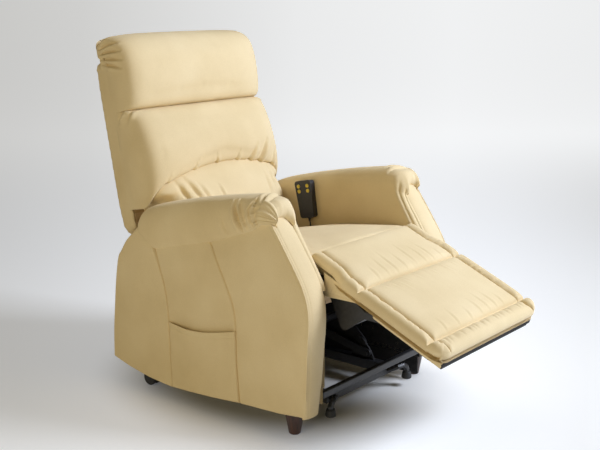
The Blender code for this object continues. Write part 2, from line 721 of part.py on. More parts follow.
def seat_rail(word, side):
    y0, y1 = FRONT_RAIL_Y + CROSS_RAIL + TOUCH, REAR_RAIL_Y - TOUCH
    outline = [(y0, seat_under(y0) - TOUCH - RAIL_DEPTH), (y1, seat_under(y1) - TOUCH - RAIL_DEPTH),
               (y1, seat_under(y1) - TOUCH), (y0, seat_under(y0) - TOUCH)]
    return plate("seat_rail_" + word, outline, *mirrored(side, RAIL_INNER, RAIL_OUTER), "frame_wood")


def seat_spring(number, x):
    rise = SPRING_RADIUS + TOUCH
    start, end = FRONT_RAIL_Y + CROSS_RAIL + 0.003, REAR_RAIL_Y + CROSS_RAIL / 2
    start_z = seat_under(FRONT_RAIL_Y + CROSS_RAIL) - SPRING_DROP + rise
    end_z = seat_under(REAR_RAIL_Y + CROSS_RAIL) - REAR_RAIL_DROP + rise
    count = 2 * round((end - start) / SPRING_PITCH)
    points = [(x, FRONT_RAIL_Y + CROSS_RAIL / 2, start_z), (x, start, start_z)]
    for i in range(count):
        for share in (0.25, 0.75):
            y = start + (end - start) * (i + share) / count
            sway = SPRING_SWING * (1 if i % 2 else -1)
            points.append((x + sway, y, start_z + (end_z - start_z) * (i + share) / count))
    points.append((x, end, end_z))
    return tube(f"seat_spring_{number}", points, SPRING_RADIUS, "bright_steel", resolution=0)


def seat_cushion():
    y0, z0 = LEG_HINGE
    thick = 2 * NOSE_RADIUS

    def shape(u, v, w):
        x = u * SEAT_HALF * (1 - 0.012 * (1 - v * v))
        if v < -0.99:
            angle = math.radians(62 * w)
            return (x, y0 - NOSE_RADIUS * math.cos(angle), z0 + NOSE_RADIUS * math.sin(angle))
        y = y0 + (SEAT_REAR - y0) * max(0.0, (v + 0.82) / 1.82)
        z = seat_under(y) + thick * (w + 1) / 2
        if w > 0 and v > -0.8:
            z += SEAT_CROWN * (1 - u * u) * (1 - v * v)
        return (x, y, z)

    stations = ((-0.92, -0.5, 0, 0.5, 0.92), (-0.82, -0.6, -0.2, 0.2, 0.6, 0.92), (0,))
    return soft_block("seat_cushion", stations, shape, "cream_fabric")


# Back
def tray_outline(inset):
    lower, upper = TRAY_LOWER_HALF - inset, TRAY_UPPER_HALF - inset
    foot, shoulder, head = TRAY_FOOT + inset, TRAY_SHOULDER + inset, TRAY_HEAD - inset
    corner = TRAY_CORNER - inset
    points = [(lower, foot), (lower, shoulder), (upper, shoulder + 0.012)]
    for i in range(5):
        angle = math.radians(22.5 * i)
        points.append((upper - corner + corner * math.cos(angle), head - corner + corner * math.sin(angle)))
    return points + [(-a, b) for a, b in reversed(points)]


def back_tray():
    made = plate("back_tray", tray_outline(0), -TRAY_DEPTH, 0, "cream_fabric", frame=BACK, edge=0.006)
    hollow = plate("hollow", tray_outline(TRAY_WALL), -TRAY_DEPTH + TRAY_WALL, 0.02, "cream_fabric", frame=BACK)
    return combine(made, [hollow], "DIFFERENCE")


def back_frame():
    inset = TRAY_WALL + TOUCH
    rear = -TRAY_DEPTH + TRAY_WALL + TOUCH
    lower = TRAY_LOWER_HALF - inset - FRAME_RAIL
    upper = TRAY_UPPER_HALF - inset - FRAME_RAIL
    rows = ((TRAY_FOOT + inset + FRAME_RAIL, TRAY_SHOULDER - FRAME_RAIL / 2, lower),
            (TRAY_SHOULDER + FRAME_RAIL, PILLOW_SEAM - FRAME_RAIL, upper),
            (PILLOW_SEAM, TRAY_HEAD - inset - FRAME_RAIL, upper))
    windows = [[(-half, low), (half, low), (half, high), (-half, high)] for low, high, half in rows]
    return plate("back_frame", tray_outline(inset), rear, rear + FRAME_THICKNESS, "frame_wood", frame=BACK, holes=windows)


def back_hinge_frame():
    reach = SWING_X + 0.002
    made = rod("back_hinge_frame", (-reach, *BACK_PIN), (reach, *BACK_PIN), TUBE_RADIUS, "black_steel")
    mid_depth = -TRAY_DEPTH / 2
    grips = [(BACK @ Vector((0, along, mid_depth)))[1:] for along in (TRAY_SHOULDER - 0.090, TRAY_SHOULDER - 0.020)]
    plates = []
    for word, side in SIDES:
        outline = around((BACK_HINGE, HINGE_EYE), (BACK_PIN, HINGE_EYE), *((grip, 0.014) for grip in grips))
        plates.append(plate("hinge_plate", outline, *mirrored(side, SWING_X, SWING_X + STEEL), "black_steel",
                            holes=[circle(BACK_HINGE, HINGE_PIN + PIN_FIT, 12)]))
    return combine(made, plates)


def arch(x):
    """How far up the back the lower edge of the middle pillow lies."""
    return ARCH_TOP - ARCH_DROP * (x / TRAY_UPPER_HALF) ** 2


def pillow(name, half, low, high, front, rear_gap=TOUCH):
    """A back pillow: low(x) and high(x) are its edges up the back, front(u, t) how far it stands forward."""

    def shape(u, v, w):
        x = u * half
        share = (v + 1) / 2
        up = low(x) + (high(x) - low(x)) * share
        depth = rear_gap + (front(u, share) - rear_gap) * (w + 1) / 2
        if w > 0:
            up += (0.5 - share) * 0.012
            x *= 0.985
        return (x, up, depth)

    return soft_block(name, ((-0.93, -0.5, 0, 0.5, 0.93), (-0.8, 0, 0.8), (0,)), shape, "cream_fabric", frame=BACK)


def lumbar_pillow():
    def front(u, share):
        return 0.216 - 0.066 * share - 0.008 * u ** 4

    return pillow("lumbar_pillow", LUMBAR_HALF, lambda x: LUMBAR_FOOT, lambda x: arch(x) - 0.003, front)


def middle_pillow():
    def front(u, share):
        return 0.150 + 0.040 * share - 0.100 * share ** 2 - 0.010 * u ** 4

    return pillow("middle_pillow", TRAY_UPPER_HALF - 0.001, arch, lambda x: PILLOW_SEAM - 0.001, front)


def headrest_pillow():
    half = TRAY_UPPER_HALF - 0.001

    def shape(u, v, w):
        share = (v + 1) / 2
        up = PILLOW_SEAM + (HEAD_TOP - PILLOW_SEAM) * share
        forward = 0.092 + 0.115 * share - 0.105 * share ** 2 - 0.010 * u ** 4
        rear = TOUCH
        if up > TRAY_HEAD:
            rear = 0.008 if up < TRAY_HEAD + 0.016 else -HEAD_WRAP
        depth = rear + (forward - rear) * (w + 1) / 2
        if v > 0.99:
            depth = rear + (forward * 0.62 - rear) * (w + 1) / 2
            up -= 0.020 * u ** 4
        return (u * half * (1 - 0.015 * (w > 0)), up, depth)

    top_cut = 2 * (TRAY_HEAD + 0.0155 - PILLOW_SEAM) / (HEAD_TOP - PILLOW_SEAM) - 1
    over_cut = 2 * (TRAY_HEAD + 0.032 - PILLOW_SEAM) / (HEAD_TOP - PILLOW_SEAM) - 1
    stations = ((-0.93, -0.5, 0, 0.5, 0.93), (-0.8, -0.2, top_cut, over_cut), (0,))
    return soft_block("headrest_pillow", stations, shape, "cream_fabric", frame=BACK)


# Legrest
def leg_point(along, above):
    return tuple((LEG @ Vector((0, along, above)))[1:])


def legrest_frame():
    reach = SWING_X + 0.002
    made = rod("legrest_frame", (-reach, *LEG_PIN), (reach, *LEG_PIN), TUBE_RADIUS, "black_steel")
    level = LEG_UNDER - 2 * TOUCH - LEG_ARM_RADIUS
    knee, bend = leg_point(0.140, level - BOARD_THICKNESS), leg_point(0.190, level)
    toe = leg_point(BOARD_END - 0.045, level)
    tools = []
    for word, side in SIDES:
        span = mirrored(side, SWING_X, SWING_X + STEEL)
        crank = around((LEG_HINGE, HINGE_EYE), (LEG_PIN, HINGE_EYE), (knee, LEG_ARM_RADIUS))
        tools.append(plate("crank", crank, *span, "black_steel", holes=[circle(LEG_HINGE, HINGE_PIN + PIN_FIT, 12)]))
        for start, end in ((knee, bend), (bend, toe)):
            tools.append(plate("arm", around((start, LEG_ARM_RADIUS), (end, LEG_ARM_RADIUS)), *span, "black_steel"))
    return combine(made, tools)


def legrest_board():
    top, half = LEG_UNDER - TOUCH, SWING_X - TOUCH  # it lies between the frame's arms
    return block("legrest_board", (-half, BOARD_START, top - BOARD_THICKNESS), (half, BOARD_END, top), "cream_fabric",
                 frame=LEG, edge=0.004)


def legrest_lining():
    top = LEG_UNDER - 2 * TOUCH - BOARD_THICKNESS
    half = SWING_X - 0.004
    return block("legrest_lining", (-half, BOARD_START + 0.006, top - LINING), (half, BOARD_END - 0.003, top),
                 "black_lining", frame=LEG)


def legrest_pad():
    roll = 1 - LEG_ROLL / LEG_HALF
    front_roll = 1 - 2 * LEG_ROLL / (LEG_LENGTH - LEG_START)
    seam = 2 * (LEG_SEAM - LEG_START) / (LEG_LENGTH - LEG_START) - 1

    def shape(u, v, w):
        above = LEG_UNDER + (LEG_TOP - LEG_UNDER) * (w + 1) / 2
        along = LEG_START + (LEG_LENGTH - LEG_START) * (v + 1) / 2
        if v < -0.99:
            along = math.sqrt(LEG_START ** 2 - above ** 2)
        inside = abs(u) < roll + 0.01 and v < front_roll + 0.01
        if w > 0 and inside:
            above -= LEG_PANEL_DROP * 0.4
        if w > 0 and (abs(abs(u) - roll) < 0.01 and v < front_roll + 0.01 or abs(v - front_roll) < 0.01 and inside):
            above -= LEG_PANEL_DROP
        if w > 0 and abs(v - seam) < 0.01 and inside:
            above -= LEG_PANEL_DROP * 0.6
        return (u * LEG_HALF, along, above)

    across = (-(1 + roll) / 2, -roll, -0.4, 0.4, roll, (1 + roll) / 2)
    lengthwise = (-0.9, seam, (seam + front_roll) / 2, front_roll, (1 + front_roll) / 2)
    return soft_block("legrest_pad", (across, lengthwise, (0,)), shape, "cream_fabric", frame=LEG)


# Linear drives
def drive_housing(name, frame, gearbox, mouth, bore_end, motor_side, saddle=None, tail=None):
    """Gear case, motor beside it and outer tube, bored for the rod. Places are distances along the drive."""
    made = rod(name, (0, gearbox[0] + 0.004, 0), (0, mouth, 0), DRIVE_TUBE, "black_plastic", frame=frame)
    case_x = sorted((-GEARBOX_HALF * motor_side, (MOTOR_OFFSET + MOTOR_RADIUS) * motor_side))
    tools = [block("case", (case_x[0], gearbox[0], -GEARBOX_HALF), (case_x[1], gearbox[1], GEARBOX_HALF),
                   "black_plastic", frame=frame, edge=0.005),
             rod("motor", (MOTOR_OFFSET * motor_side, gearbox[1] - 0.01, 0),
                 (MOTOR_OFFSET * motor_side, gearbox[1] + 0.070, 0), MOTOR_RADIUS, "black_plastic", frame=frame)]
    if saddle is not None:
        tools.append(block("saddle", *saddle, "black_plastic", frame=frame))
    combine(made, tools)
    cutters = [rod("bore", (0, bore_end, 0), (0, mouth + 0.01, 0), ROD_RADIUS + ROD_FIT, "black_plastic", frame=frame)]
    combine(made, cutters, "DIFFERENCE")
    if tail is not None:
        lug = plate("lug", around(((0, 0), 0.012), ((gearbox[0] + 0.004, 0), 0.014)), -tail, tail, "black_plastic",
                    frame=frame @ SIDE_VIEW, holes=[circle((0, 0), PIN_RADIUS - 0.001 + PIN_FIT, 12)])
        combine(made, [lug])
    return made


def drive_rod(name, frame, inner_end, pin_along, low, high, play):
    """Rod with a slotted yoke: the slot lets a crank pin of the tube's radius rise from low to high."""
    half = TUBE_RADIUS + play
    slot = around(((pin_along, low), half), ((pin_along, high), half))
    outline = around(((pin_along, low), half + YOKE_WALL), ((pin_along, high), half + YOKE_WALL))
    made = plate(name, outline, -YOKE_HALF, YOKE_HALF, "bright_steel", frame=frame @ SIDE_VIEW, holes=[slot])
    shank = rod("shank", (0, inner_end, 0), (0, pin_along - half - YOKE_WALL * 0.4, 0), ROD_RADIUS, "bright_steel",
                frame=frame, sides=16)
    return combine(made, [shank])


def pin_in(frame, pin, x):
    """A crank pin's place along and above a drive's axis."""
    place = frame.inverted() @ Vector((x, *pin))
    return place[1], place[2]


def lift_drive():
    frame = drive_frame(0, lift_tail(), -1, LIFT_DRIVE_RISE)
    along, above = pin_in(frame, LIFT_PIN, 0)
    drive_housing("lift_drive_housing", frame, (0.022, 0.075), 0.225, 0.040, 1, tail=TAIL_HALF)
    drive_rod("lift_drive_rod", frame, 0.058, along, above, above + LIFT_SWEEP, 0.0018)


def legrest_drive():
    frame = drive_frame(SIDE_DRIVE_X, FRONT_TUBE, -1, LEG_DRIVE_RISE)
    along, above = pin_in(frame, LEG_PIN, SIDE_DRIVE_X)
    rest = math.radians(sum(LEG_RANGE) / 2)
    low = above - LEG_CRANK * (1 - math.cos(rest))
    start = TUBE_RADIUS + TOUCH
    drive_housing("legrest_drive_housing", frame, (start, 0.065), 0.235, 0.022, 1)
    drive_rod("legrest_drive_rod", frame, 0.148, along, low, low + LEG_SWEEP, 0.0045)


def back_drive():
    level = BACK_HINGE[1] - BACK_CRANK + BACK_SWEEP / 2
    frame = drive_frame(-SIDE_DRIVE_X, (FRONT_TUBE[0], level), 1, 0)
    along, above = pin_in(frame, BACK_PIN, -SIDE_DRIVE_X)
    saddle = ((-0.015, -0.012, FRONT_TUBE[1] + TUBE_RADIUS + TOUCH - level), (0.015, 0.012, -0.010))
    drive_housing("back_drive_housing", frame, (-0.105, -0.050), 0.030, -0.086, -1, saddle=saddle)
    drive_rod("back_drive_rod", frame, -0.032, along, -BACK_SWEEP / 2, BACK_SWEEP / 2, 0.0012)


# Control box, handset and its cord
def control_box():
    made = block("control_box", BOX_LOW, BOX_HIGH, "black_plastic", edge=0.003)
    middle = [(low + high) / 2 for low, high in zip(BOX_LOW, BOX_HIGH)]
    inlet = block("inlet", (middle[0] - 0.011, BOX_HIGH[1] - 0.014, middle[2] - 0.008),
                  (middle[0] + 0.011, BOX_HIGH[1] + 0.01, middle[2] + 0.008), "black_plastic")
    return combine(made, [inlet], "DIFFERENCE")


def handset():
    top, foot, half = HANDSET_TOP / 2, HANDSET_FOOT / 2, HANDSET_HEIGHT / 2
    corner = 0.010
    outline = around(((-foot + corner, -half + corner), corner), ((foot - corner, -half + corner), corner),
                     ((top - corner, half - corner), corner), ((-top + corner, half - corner), corner))
    made = plate("handset", outline, 0, HANDSET_THICKNESS, "black_plastic", frame=HANDSET, edge=0.003)
    middle = HANDSET_THICKNESS / 2
    boss = rod("boss", (0, -half - BOSS_LENGTH, middle), (0, -half + 0.004, middle), CORD_RADIUS + 0.001,
               "black_plastic", frame=HANDSET, end_radius=CORD_RADIUS + 0.003)
    combine(made, [boss])
    wells = [rod("well", (a, b, HANDSET_THICKNESS - 0.007), (a, b, HANDSET_THICKNESS + 0.005), KEY_RADIUS + KEY_FIT,
                 "black_plastic", frame=HANDSET) for a, b in key_places()]
    return combine(made, wells, "DIFFERENCE")


def key_places():
    return [(column, row) for column in (-KEY_COLUMN, KEY_COLUMN) for row in KEY_ROWS]


def handset_key(number, place):
    a, b = place
    base = HANDSET_THICKNESS - 0.007 + KEY_TRAVEL + 0.0012
    made = rod(f"handset_key_{number}", (a, b, base), (a, b, HANDSET_THICKNESS + 0.0018), KEY_RADIUS, "yellow_key",
               frame=HANDSET)
    return soften(made, 0.001, segments=1)


# Route of the cord below the handset's boss: X, Y, Z
CORD_DROP = ((0.2405, 0.0398, 0.462), (0.2412, 0.0395, 0.446), (0.2415, 0.0405, 0.425), (0.2415, 0.0430, 0.395),
             (0.2415, 0.0450, 0.350), (0.2415, 0.0458, 0.300), (0.2420, 0.0460, 0.255), (0.2425, 0.0460, 0.225))
CORD_TAIL = ((0.2425, 0.0755, 0.188), (0.2425, 0.0800, 0.179), (0.2420, 0.0875, 0.1745), (0.2415, 0.0965, 0.1735))


def cord_points():
    half = HANDSET_HEIGHT / 2
    exits = [HANDSET @ Vector((0, -half - BOSS_LENGTH - TOUCH - step, HANDSET_THICKNESS / 2)) for step in (0, 0.005)]
    coil = []
    for i in range(12 * COIL_TURNS + 1):
        angle = 2 * math.pi * i / 12
        coil.append((COIL_MIDDLE[0] + COIL_RADIUS * math.cos(angle), COIL_START + COIL_PITCH * i / 12,
                     COIL_MIDDLE[1] - COIL_RADIUS * math.sin(angle)))
    last = (0.2415, BOX_LOW[1] - TOUCH, 0.1735)
    route = [tuple(p) for p in exits] + list(CORD_DROP) + coil + list(CORD_TAIL) + [last]
    return route


def handset_cord():
    points = cord_points()
    length = sum(math.dist(a, b) for a, b in zip(points, points[1:]))
    gap = min(math.dist(a, b) for i, a in enumerate(points) for b in points[i + 7:]) - 2 * CORD_RADIUS
    print(f"handset cord: {length:.3f} m long, least gap to itself {gap * 1000:.2f} mm")
    return tube("handset_cord", points, CORD_RADIUS, "black_rubber", resolution=1)


def build():
    base_frame()
    for word, side in SIDES:
        base_front_arm(word, side)
        base_cup("base_foot_front_" + word, side * CUP_X, CUP_FRONT_Y, CUP_BOTTOM + CUP_HEIGHT)
        base_cup("base_foot_rear_" + word, side * (BASE_HALF - BASE_BAR / 2), BASE_REAR - BASE_BAR / 2,
                 BASE_TOP - BASE_BAR - TOUCH)
        lift_arm(word, side)
        guide_arm(word, side)
        side_plate(word, side)
        side_panel(word, side)
        front_band(word, side)
        arm_pad(word, side)
        wood_foot(word, side)
        castor_fork(word, side)
        castor_wheels(word, side)
        seat_rail(word, side)
    lift_cross_tube()
    chassis_frame()
    front_stretcher()
    pocket_panel()
    seat_cross_rail("seat_front_rail", FRONT_RAIL_Y, RAIL_DEPTH, SPRING_DROP)
    seat_cross_rail("seat_rear_rail", REAR_RAIL_Y, REAR_RAIL_DEPTH, REAR_RAIL_DROP)
    for number, x in enumerate(SPRING_X, 1):
        seat_spring(number, x)
    seat_cushion()
    back_tray()
    back_frame()
    back_hinge_frame()
    lumbar_pillow()
    middle_pillow()
    headrest_pillow()
    legrest_frame()
    legrest_board()
    legrest_lining()
    legrest_pad()
    lift_drive()
    legrest_drive()
    back_drive()
    control_box()
    handset()
    for number, place in enumerate(key_places(), 1):
        handset_key(number, place)
    handset_cord()


# Bodies: an empty on each joint's axis carries the pieces that move with it
BODIES = {
    "lift_base": (None, (0, 0, 0)),
    "lift_arms": ("lift_base", (0, *LIFT_BASE)),
    "guide_arms": ("lift_base", (0, *GUIDE_BASE)),
    "lift_rod": ("lift_base", (0, *LIFT_PIN)),
    "chassis": ("lift_arms", (0, *LIFT_SEAT)),
    "legrest": ("chassis", (0, *LEG_HINGE)),
    "legrest_rod": ("chassis", (SIDE_DRIVE_X, *LEG_PIN)),
    "backrest": ("chassis", (0, *BACK_HINGE)),
    "back_rod": ("chassis", (-SIDE_DRIVE_X, *BACK_PIN)),
    "castor_right": ("chassis", (-CASTOR_X, CASTOR_Y, 0)),
    "castor_left": ("chassis", (CASTOR_X, CASTOR_Y, 0)),
    "wheels_right": ("castor_right", (-CASTOR_X, CASTOR_Y + CASTOR_TRAIL, WHEEL_RADIUS)),
    "wheels_left": ("castor_left", (CASTOR_X, CASTOR_Y + CASTOR_TRAIL, WHEEL_RADIUS)),
}
OWNERS = {
    "lift_base": ("base_", "lift_drive_housing"),
    "lift_arms": ("lift_arm_", "lift_cross_tube"),
    "guide_arms": ("guide_arm_",),
    "lift_rod": ("lift_drive_rod",),
    "legrest": ("legrest_frame", "legrest_board", "legrest_lining", "legrest_pad"),
    "legrest_rod": ("legrest_drive_rod",),
    "backrest": ("back_tray", "back_frame", "back_hinge_frame", "lumbar_", "middle_", "headrest_"),
    "back_rod": ("back_drive_rod",),
    "castor_right": ("castor_fork_right",),
    "castor_left": ("castor_fork_left",),
    "wheels_right": ("castor_wheels_right",),
    "wheels_left": ("castor_wheels_left",),
}


def owner(name):
    for body, starts in OWNERS.items():
        if name.startswith(starts):
            return body
    return "chassis"


def carry():
    """Hangs every piece on its body's empty, and the whole chair on the origin empty."""
    pieces = [item for item in PARTS.objects if item.type == "MESH"]
    origin = bpy.data.objects.new("chair_origin", None)
    origin.location = (0, -FOOTPRINT_MIDDLE, 0)
    PARTS.objects.link(origin)
    empties = {}
    for body, (parent, axis) in BODIES.items():
        empty = bpy.data.objects.new(body + "_axis", None)
        PARTS.objects.link(empty)
        empty.parent = empties[parent] if parent else origin
        above = Vector(BODIES[parent][1]) if parent else Vector((0, 0, 0))
        empty.location = Vector(axis) - above
        empties[body] = empty
    for piece in pieces:
        body = owner(piece.name)
        piece.parent = empties[body]
        piece.location = -Vector(BODIES[body][1])
        piece.data.shade_smooth()
        piece.data.set_sharp_from_angle(angle=math.radians(35))
    for number, (a, b) in enumerate(key_places(), 1):
        key = bpy.data.objects[f"handset_key_{number}"]
        axis = HANDSET @ Vector((a, b, HANDSET_THICKNESS))
        key.data.transform(Matrix.Translation(-axis))
        key.location += axis


build()
carry()
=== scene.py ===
# %% [markdown]
# # Dressing a riser recliner
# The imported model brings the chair's steel, wood and plastic at their real size, and a plain solid for each soft
# part. This lesson keeps the hard pieces, gives them finishes, and replaces each soft solid with upholstery.

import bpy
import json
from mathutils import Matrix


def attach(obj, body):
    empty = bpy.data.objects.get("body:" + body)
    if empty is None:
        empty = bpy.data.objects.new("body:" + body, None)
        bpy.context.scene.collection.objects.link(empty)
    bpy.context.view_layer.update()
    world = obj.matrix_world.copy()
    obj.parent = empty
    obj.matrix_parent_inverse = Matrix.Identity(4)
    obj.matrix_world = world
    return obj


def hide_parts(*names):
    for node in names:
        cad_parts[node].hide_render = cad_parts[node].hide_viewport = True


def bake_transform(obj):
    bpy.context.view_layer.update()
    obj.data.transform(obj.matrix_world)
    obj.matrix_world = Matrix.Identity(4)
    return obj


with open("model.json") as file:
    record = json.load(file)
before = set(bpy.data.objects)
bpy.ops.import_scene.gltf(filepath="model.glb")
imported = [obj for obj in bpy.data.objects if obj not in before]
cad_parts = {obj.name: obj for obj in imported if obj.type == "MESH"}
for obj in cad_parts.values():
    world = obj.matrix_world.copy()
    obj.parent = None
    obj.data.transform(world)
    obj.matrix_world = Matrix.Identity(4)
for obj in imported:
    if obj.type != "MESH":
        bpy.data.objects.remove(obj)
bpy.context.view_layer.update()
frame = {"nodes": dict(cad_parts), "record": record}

import json
import math

import bmesh
import bpy
import numpy as np
from mathutils import Matrix, Vector

NODES = frame["nodes"]
SCENE = bpy.context.scene

# %% [markdown]
# ## Where things are
# Three sets of axes make the rest readable. The chair's own zero lies on the arm boxes; the back leans 11 degrees;
# the legrest slopes 23.5 degrees below level. On the two slopes a point is given as (across, along, out).

# %% Axes of the chair, the back and the legrest
ARM_DATUM = 0.172


def chair(x, y, z):
    return Vector((x, y + ARM_DATUM, z))


def sloped_axes(origin, along, out):
    columns = (Vector((1, 0, 0)), Vector(along), Vector(out), origin)
    rows = [[column[i] for column in columns] for i in range(3)]
    return Matrix((*rows, (0, 0, 0, 1)))


LEAN = math.radians(11.0)
DROP = math.radians(23.5)
BACK_FOOT = (0.331, 0.550)
LEG_HINGE = (-0.420, 0.449)
BACK = sloped_axes(chair(0, *BACK_FOOT), (0, math.sin(LEAN), math.cos(LEAN)), (0, -math.cos(LEAN), math.sin(LEAN)))
LEG = sloped_axes(chair(0, *LEG_HINGE), (0, -math.cos(DROP), -math.sin(DROP)), (0, -math.sin(DROP), math.cos(DROP)))
SIDE = Matrix(((1, 0, 0, 0), (0, 1, 0, ARM_DATUM), (0, 0, 1, 0), (0, 0, 0, 1)))
SIDES = (("right", -1), ("left", 1))
print("hinge of the legrest:", [round(v, 3) for v in LEG.translation])

# %% [markdown]
# ## The camera
# A camera placed by numbers repeats the photograph's angle. Its lens follows from how fast the chair's lines
# converge: a 61 mm lens on a 36 mm wide sensor.

# %% Camera
AZIMUTH, ELEVATION, ROLL = math.radians(-50.342), math.radians(12.758), math.radians(-0.143)
CAMERA_PLACE = (-2.394106, -2.097981, 1.229268)
LENS, SENSOR = 61.09, 36


def camera_axes():
    level = math.cos(ELEVATION)
    back = Vector((math.sin(AZIMUTH) * level, -math.cos(AZIMUTH) * level, math.sin(ELEVATION)))
    right = Vector((0, 0, 1)).cross(back).normalized()
    up = back.cross(right)
    turned_right = right * math.cos(ROLL) + up * math.sin(ROLL)
    turned_up = up * math.cos(ROLL) - right * math.sin(ROLL)
    return turned_right, turned_up, back


camera = bpy.data.objects.new("camera", bpy.data.cameras.new("camera"))
SCENE.collection.objects.link(camera)
SCENE.camera = camera
camera.data.lens = LENS
camera.data.sensor_width = SENSOR
camera.data.sensor_fit = "HORIZONTAL"
rows = [[*row] for row in zip(*camera_axes(), chair(*CAMERA_PLACE))]
camera.matrix_world = Matrix((*rows, (0, 0, 0, 1)))
print("camera at", [round(v, 3) for v in camera.matrix_world.translation])

# %% [markdown]
# ## Node helpers
# Every finish is a small tree of nodes. Two helpers keep the trees short: one adds a node with its settings, the
# other starts a material whose patterns read the piece's own coordinates.


# %% Node helpers
def add_node(tree, kind, settings=(), **links):
    made = tree.nodes.new(kind)
    for key, value in dict(settings).items():
        if key in made.inputs:
            made.inputs[key].default_value = value
        else:
            setattr(made, key, value)
    for key, source in links.items():
        tree.links.new(source, made.inputs[key.replace("_", " ")])
    return made


def start_material(name, **shader_values):
    material = bpy.data.materials.new(name)
    material.use_nodes = True
    tree = material.node_tree
    shader = tree.nodes["Principled BSDF"]
    for key, value in shader_values.items():
        shader.inputs[key.replace("_", " ")].default_value = value
    place = add_node(tree, "ShaderNodeTexCoord").outputs["Object"]
    return material, tree, shader, place


def noise(tree, place, scale, detail=2.0, stretch=None):
    if stretch:
        place = add_node(tree, "ShaderNodeMapping", {"Scale": stretch}, Vector=place).outputs["Vector"]
    return add_node(tree, "ShaderNodeTexNoise", {"Scale": scale, "Detail": detail}, Vector=place).outputs["Fac"]


def ramp(tree, fac, *stops):
    made = add_node(tree, "ShaderNodeValToRGB", Fac=fac)
    elements = made.color_ramp.elements
    while len(elements) < len(stops):
        elements.new(0.5)
    for element, (position, colour) in zip(elements, stops):
        element.position = position
        element.color = (*colour, 1)
    return made.outputs["Color"]


def bump(tree, shader, height, distance, strength=1.0):
    made = add_node(tree, "ShaderNodeBump", {"Distance": distance, "Strength": strength}, Height=height)
    tree.links.new(made.outputs["Normal"], shader.inputs["Normal"])


def mixed(tree, a, b, factor, blend):
    """Mixes two colours; the factor is a number or another node's output."""
    made = tree.nodes.new("ShaderNodeMix")
    made.data_type = "RGBA"
    made.blend_type = blend
    if isinstance(factor, float):
        made.inputs["Factor"].default_value = factor
    else:
        tree.links.new(factor, made.inputs["Factor"])
    tree.links.new(a, made.inputs[6])
    tree.links.new(b, made.inputs[7])
    return made.outputs[2]


# %% [markdown]
# ## The cover fabric
# The cover is a brushed microfibre in butter cream. Brushing leaves cloudy patches where the nap lies another way, a
# fine speckle of fibre ends, and a soft sheen at grazing angles. Three noises at three scales give that without any
# image.


# %% Cream microfibre
def cream_fabric(name, light, base, dark):
    material, tree, shader, place = start_material(name, Roughness=0.93, Sheen_Weight=0.22, Sheen_Roughness=0.5,
                                                   Specular_IOR_Level=0.15)
    shader.inputs["Sheen Tint"].default_value = (1.0, 0.94, 0.80, 1)
    clouds = ramp(tree, noise(tree, place, 6.0, 5.0), (0.30, dark), (0.52, base), (0.72, light))
    fibres = ramp(tree, noise(tree, place, 520.0, 3.0), (0.25, (0.86, 0.85, 0.82)), (0.60, (1, 1, 1)))
    tree.links.new(mixed(tree, clouds, fibres, 0.55, "MULTIPLY"), shader.inputs["Base Color"])
    bump(tree, shader, noise(tree, place, 900.0, 3.0), 0.0006, 0.35)
    return material


CREAM = cream_fabric("cream_fabric", (0.83, 0.690, 0.440), (0.795, 0.650, 0.400), (0.745, 0.600, 0.355))
print("cover finish:", CREAM.name)

# %% [markdown]
# ## Hard finishes
# Powder coat is almost black and slightly pebbled; plated rods are bright; the feet are stained beech with grain
# along their length; the handset is moulded with a fine texture. Each keeps its own roughness, and all but the plated
# rods a bump.


# %% Steel, plastic and rubber
def pebbled(name, colour, dark, roughness, grain, depth):
    material, tree, shader, place = start_material(name, Roughness=roughness)
    tint = ramp(tree, noise(tree, place, grain * 0.15, 3.0), (0.35, dark), (0.65, colour))
    tree.links.new(tint, shader.inputs["Base Color"])
    bump(tree, shader, noise(tree, place, grain, 2.0), depth, 0.5)
    return material


def plated(name, colour):
    material, tree, shader, place = start_material(name, Metallic=1.0)
    streaks = noise(tree, place, 60.0, 3.0, (8, 1, 8))
    tree.links.new(ramp(tree, streaks, (0.3, [v * 0.8 for v in colour]), (0.7, colour)), shader.inputs["Base Color"])
    tree.links.new(ramp(tree, streaks, (0.3, (0.22,) * 3), (0.7, (0.38,) * 3)), shader.inputs["Roughness"])
    return material


STEEL = pebbled("black_steel", (0.022, 0.022, 0.024), (0.014, 0.014, 0.015), 0.36, 700.0, 0.0004)
PLASTIC = pebbled("black_plastic", (0.030, 0.032, 0.040), (0.022, 0.023, 0.029), 0.42, 1100.0, 0.0003)
RUBBER = pebbled("black_rubber", (0.020, 0.020, 0.020), (0.013, 0.013, 0.013), 0.62, 500.0, 0.0003)
KEY = pebbled("yellow_key", (0.80, 0.62, 0.06), (0.70, 0.52, 0.04), 0.38, 900.0, 0.0002)
PLATED = plated("bright_steel", (0.60, 0.60, 0.61))


# %% Wood and lining
def grained(name, light, dark, stretch, roughness, coat):
    material, tree, shader, place = start_material(name, Roughness=roughness, Coat_Weight=coat, Coat_Roughness=0.25)
    lines = noise(tree, place, 90.0, 6.0, stretch)
    tree.links.new(ramp(tree, lines, (0.34, dark), (0.66, light)), shader.inputs["Base Color"])
    bump(tree, shader, lines, 0.0006, 0.4)
    return material


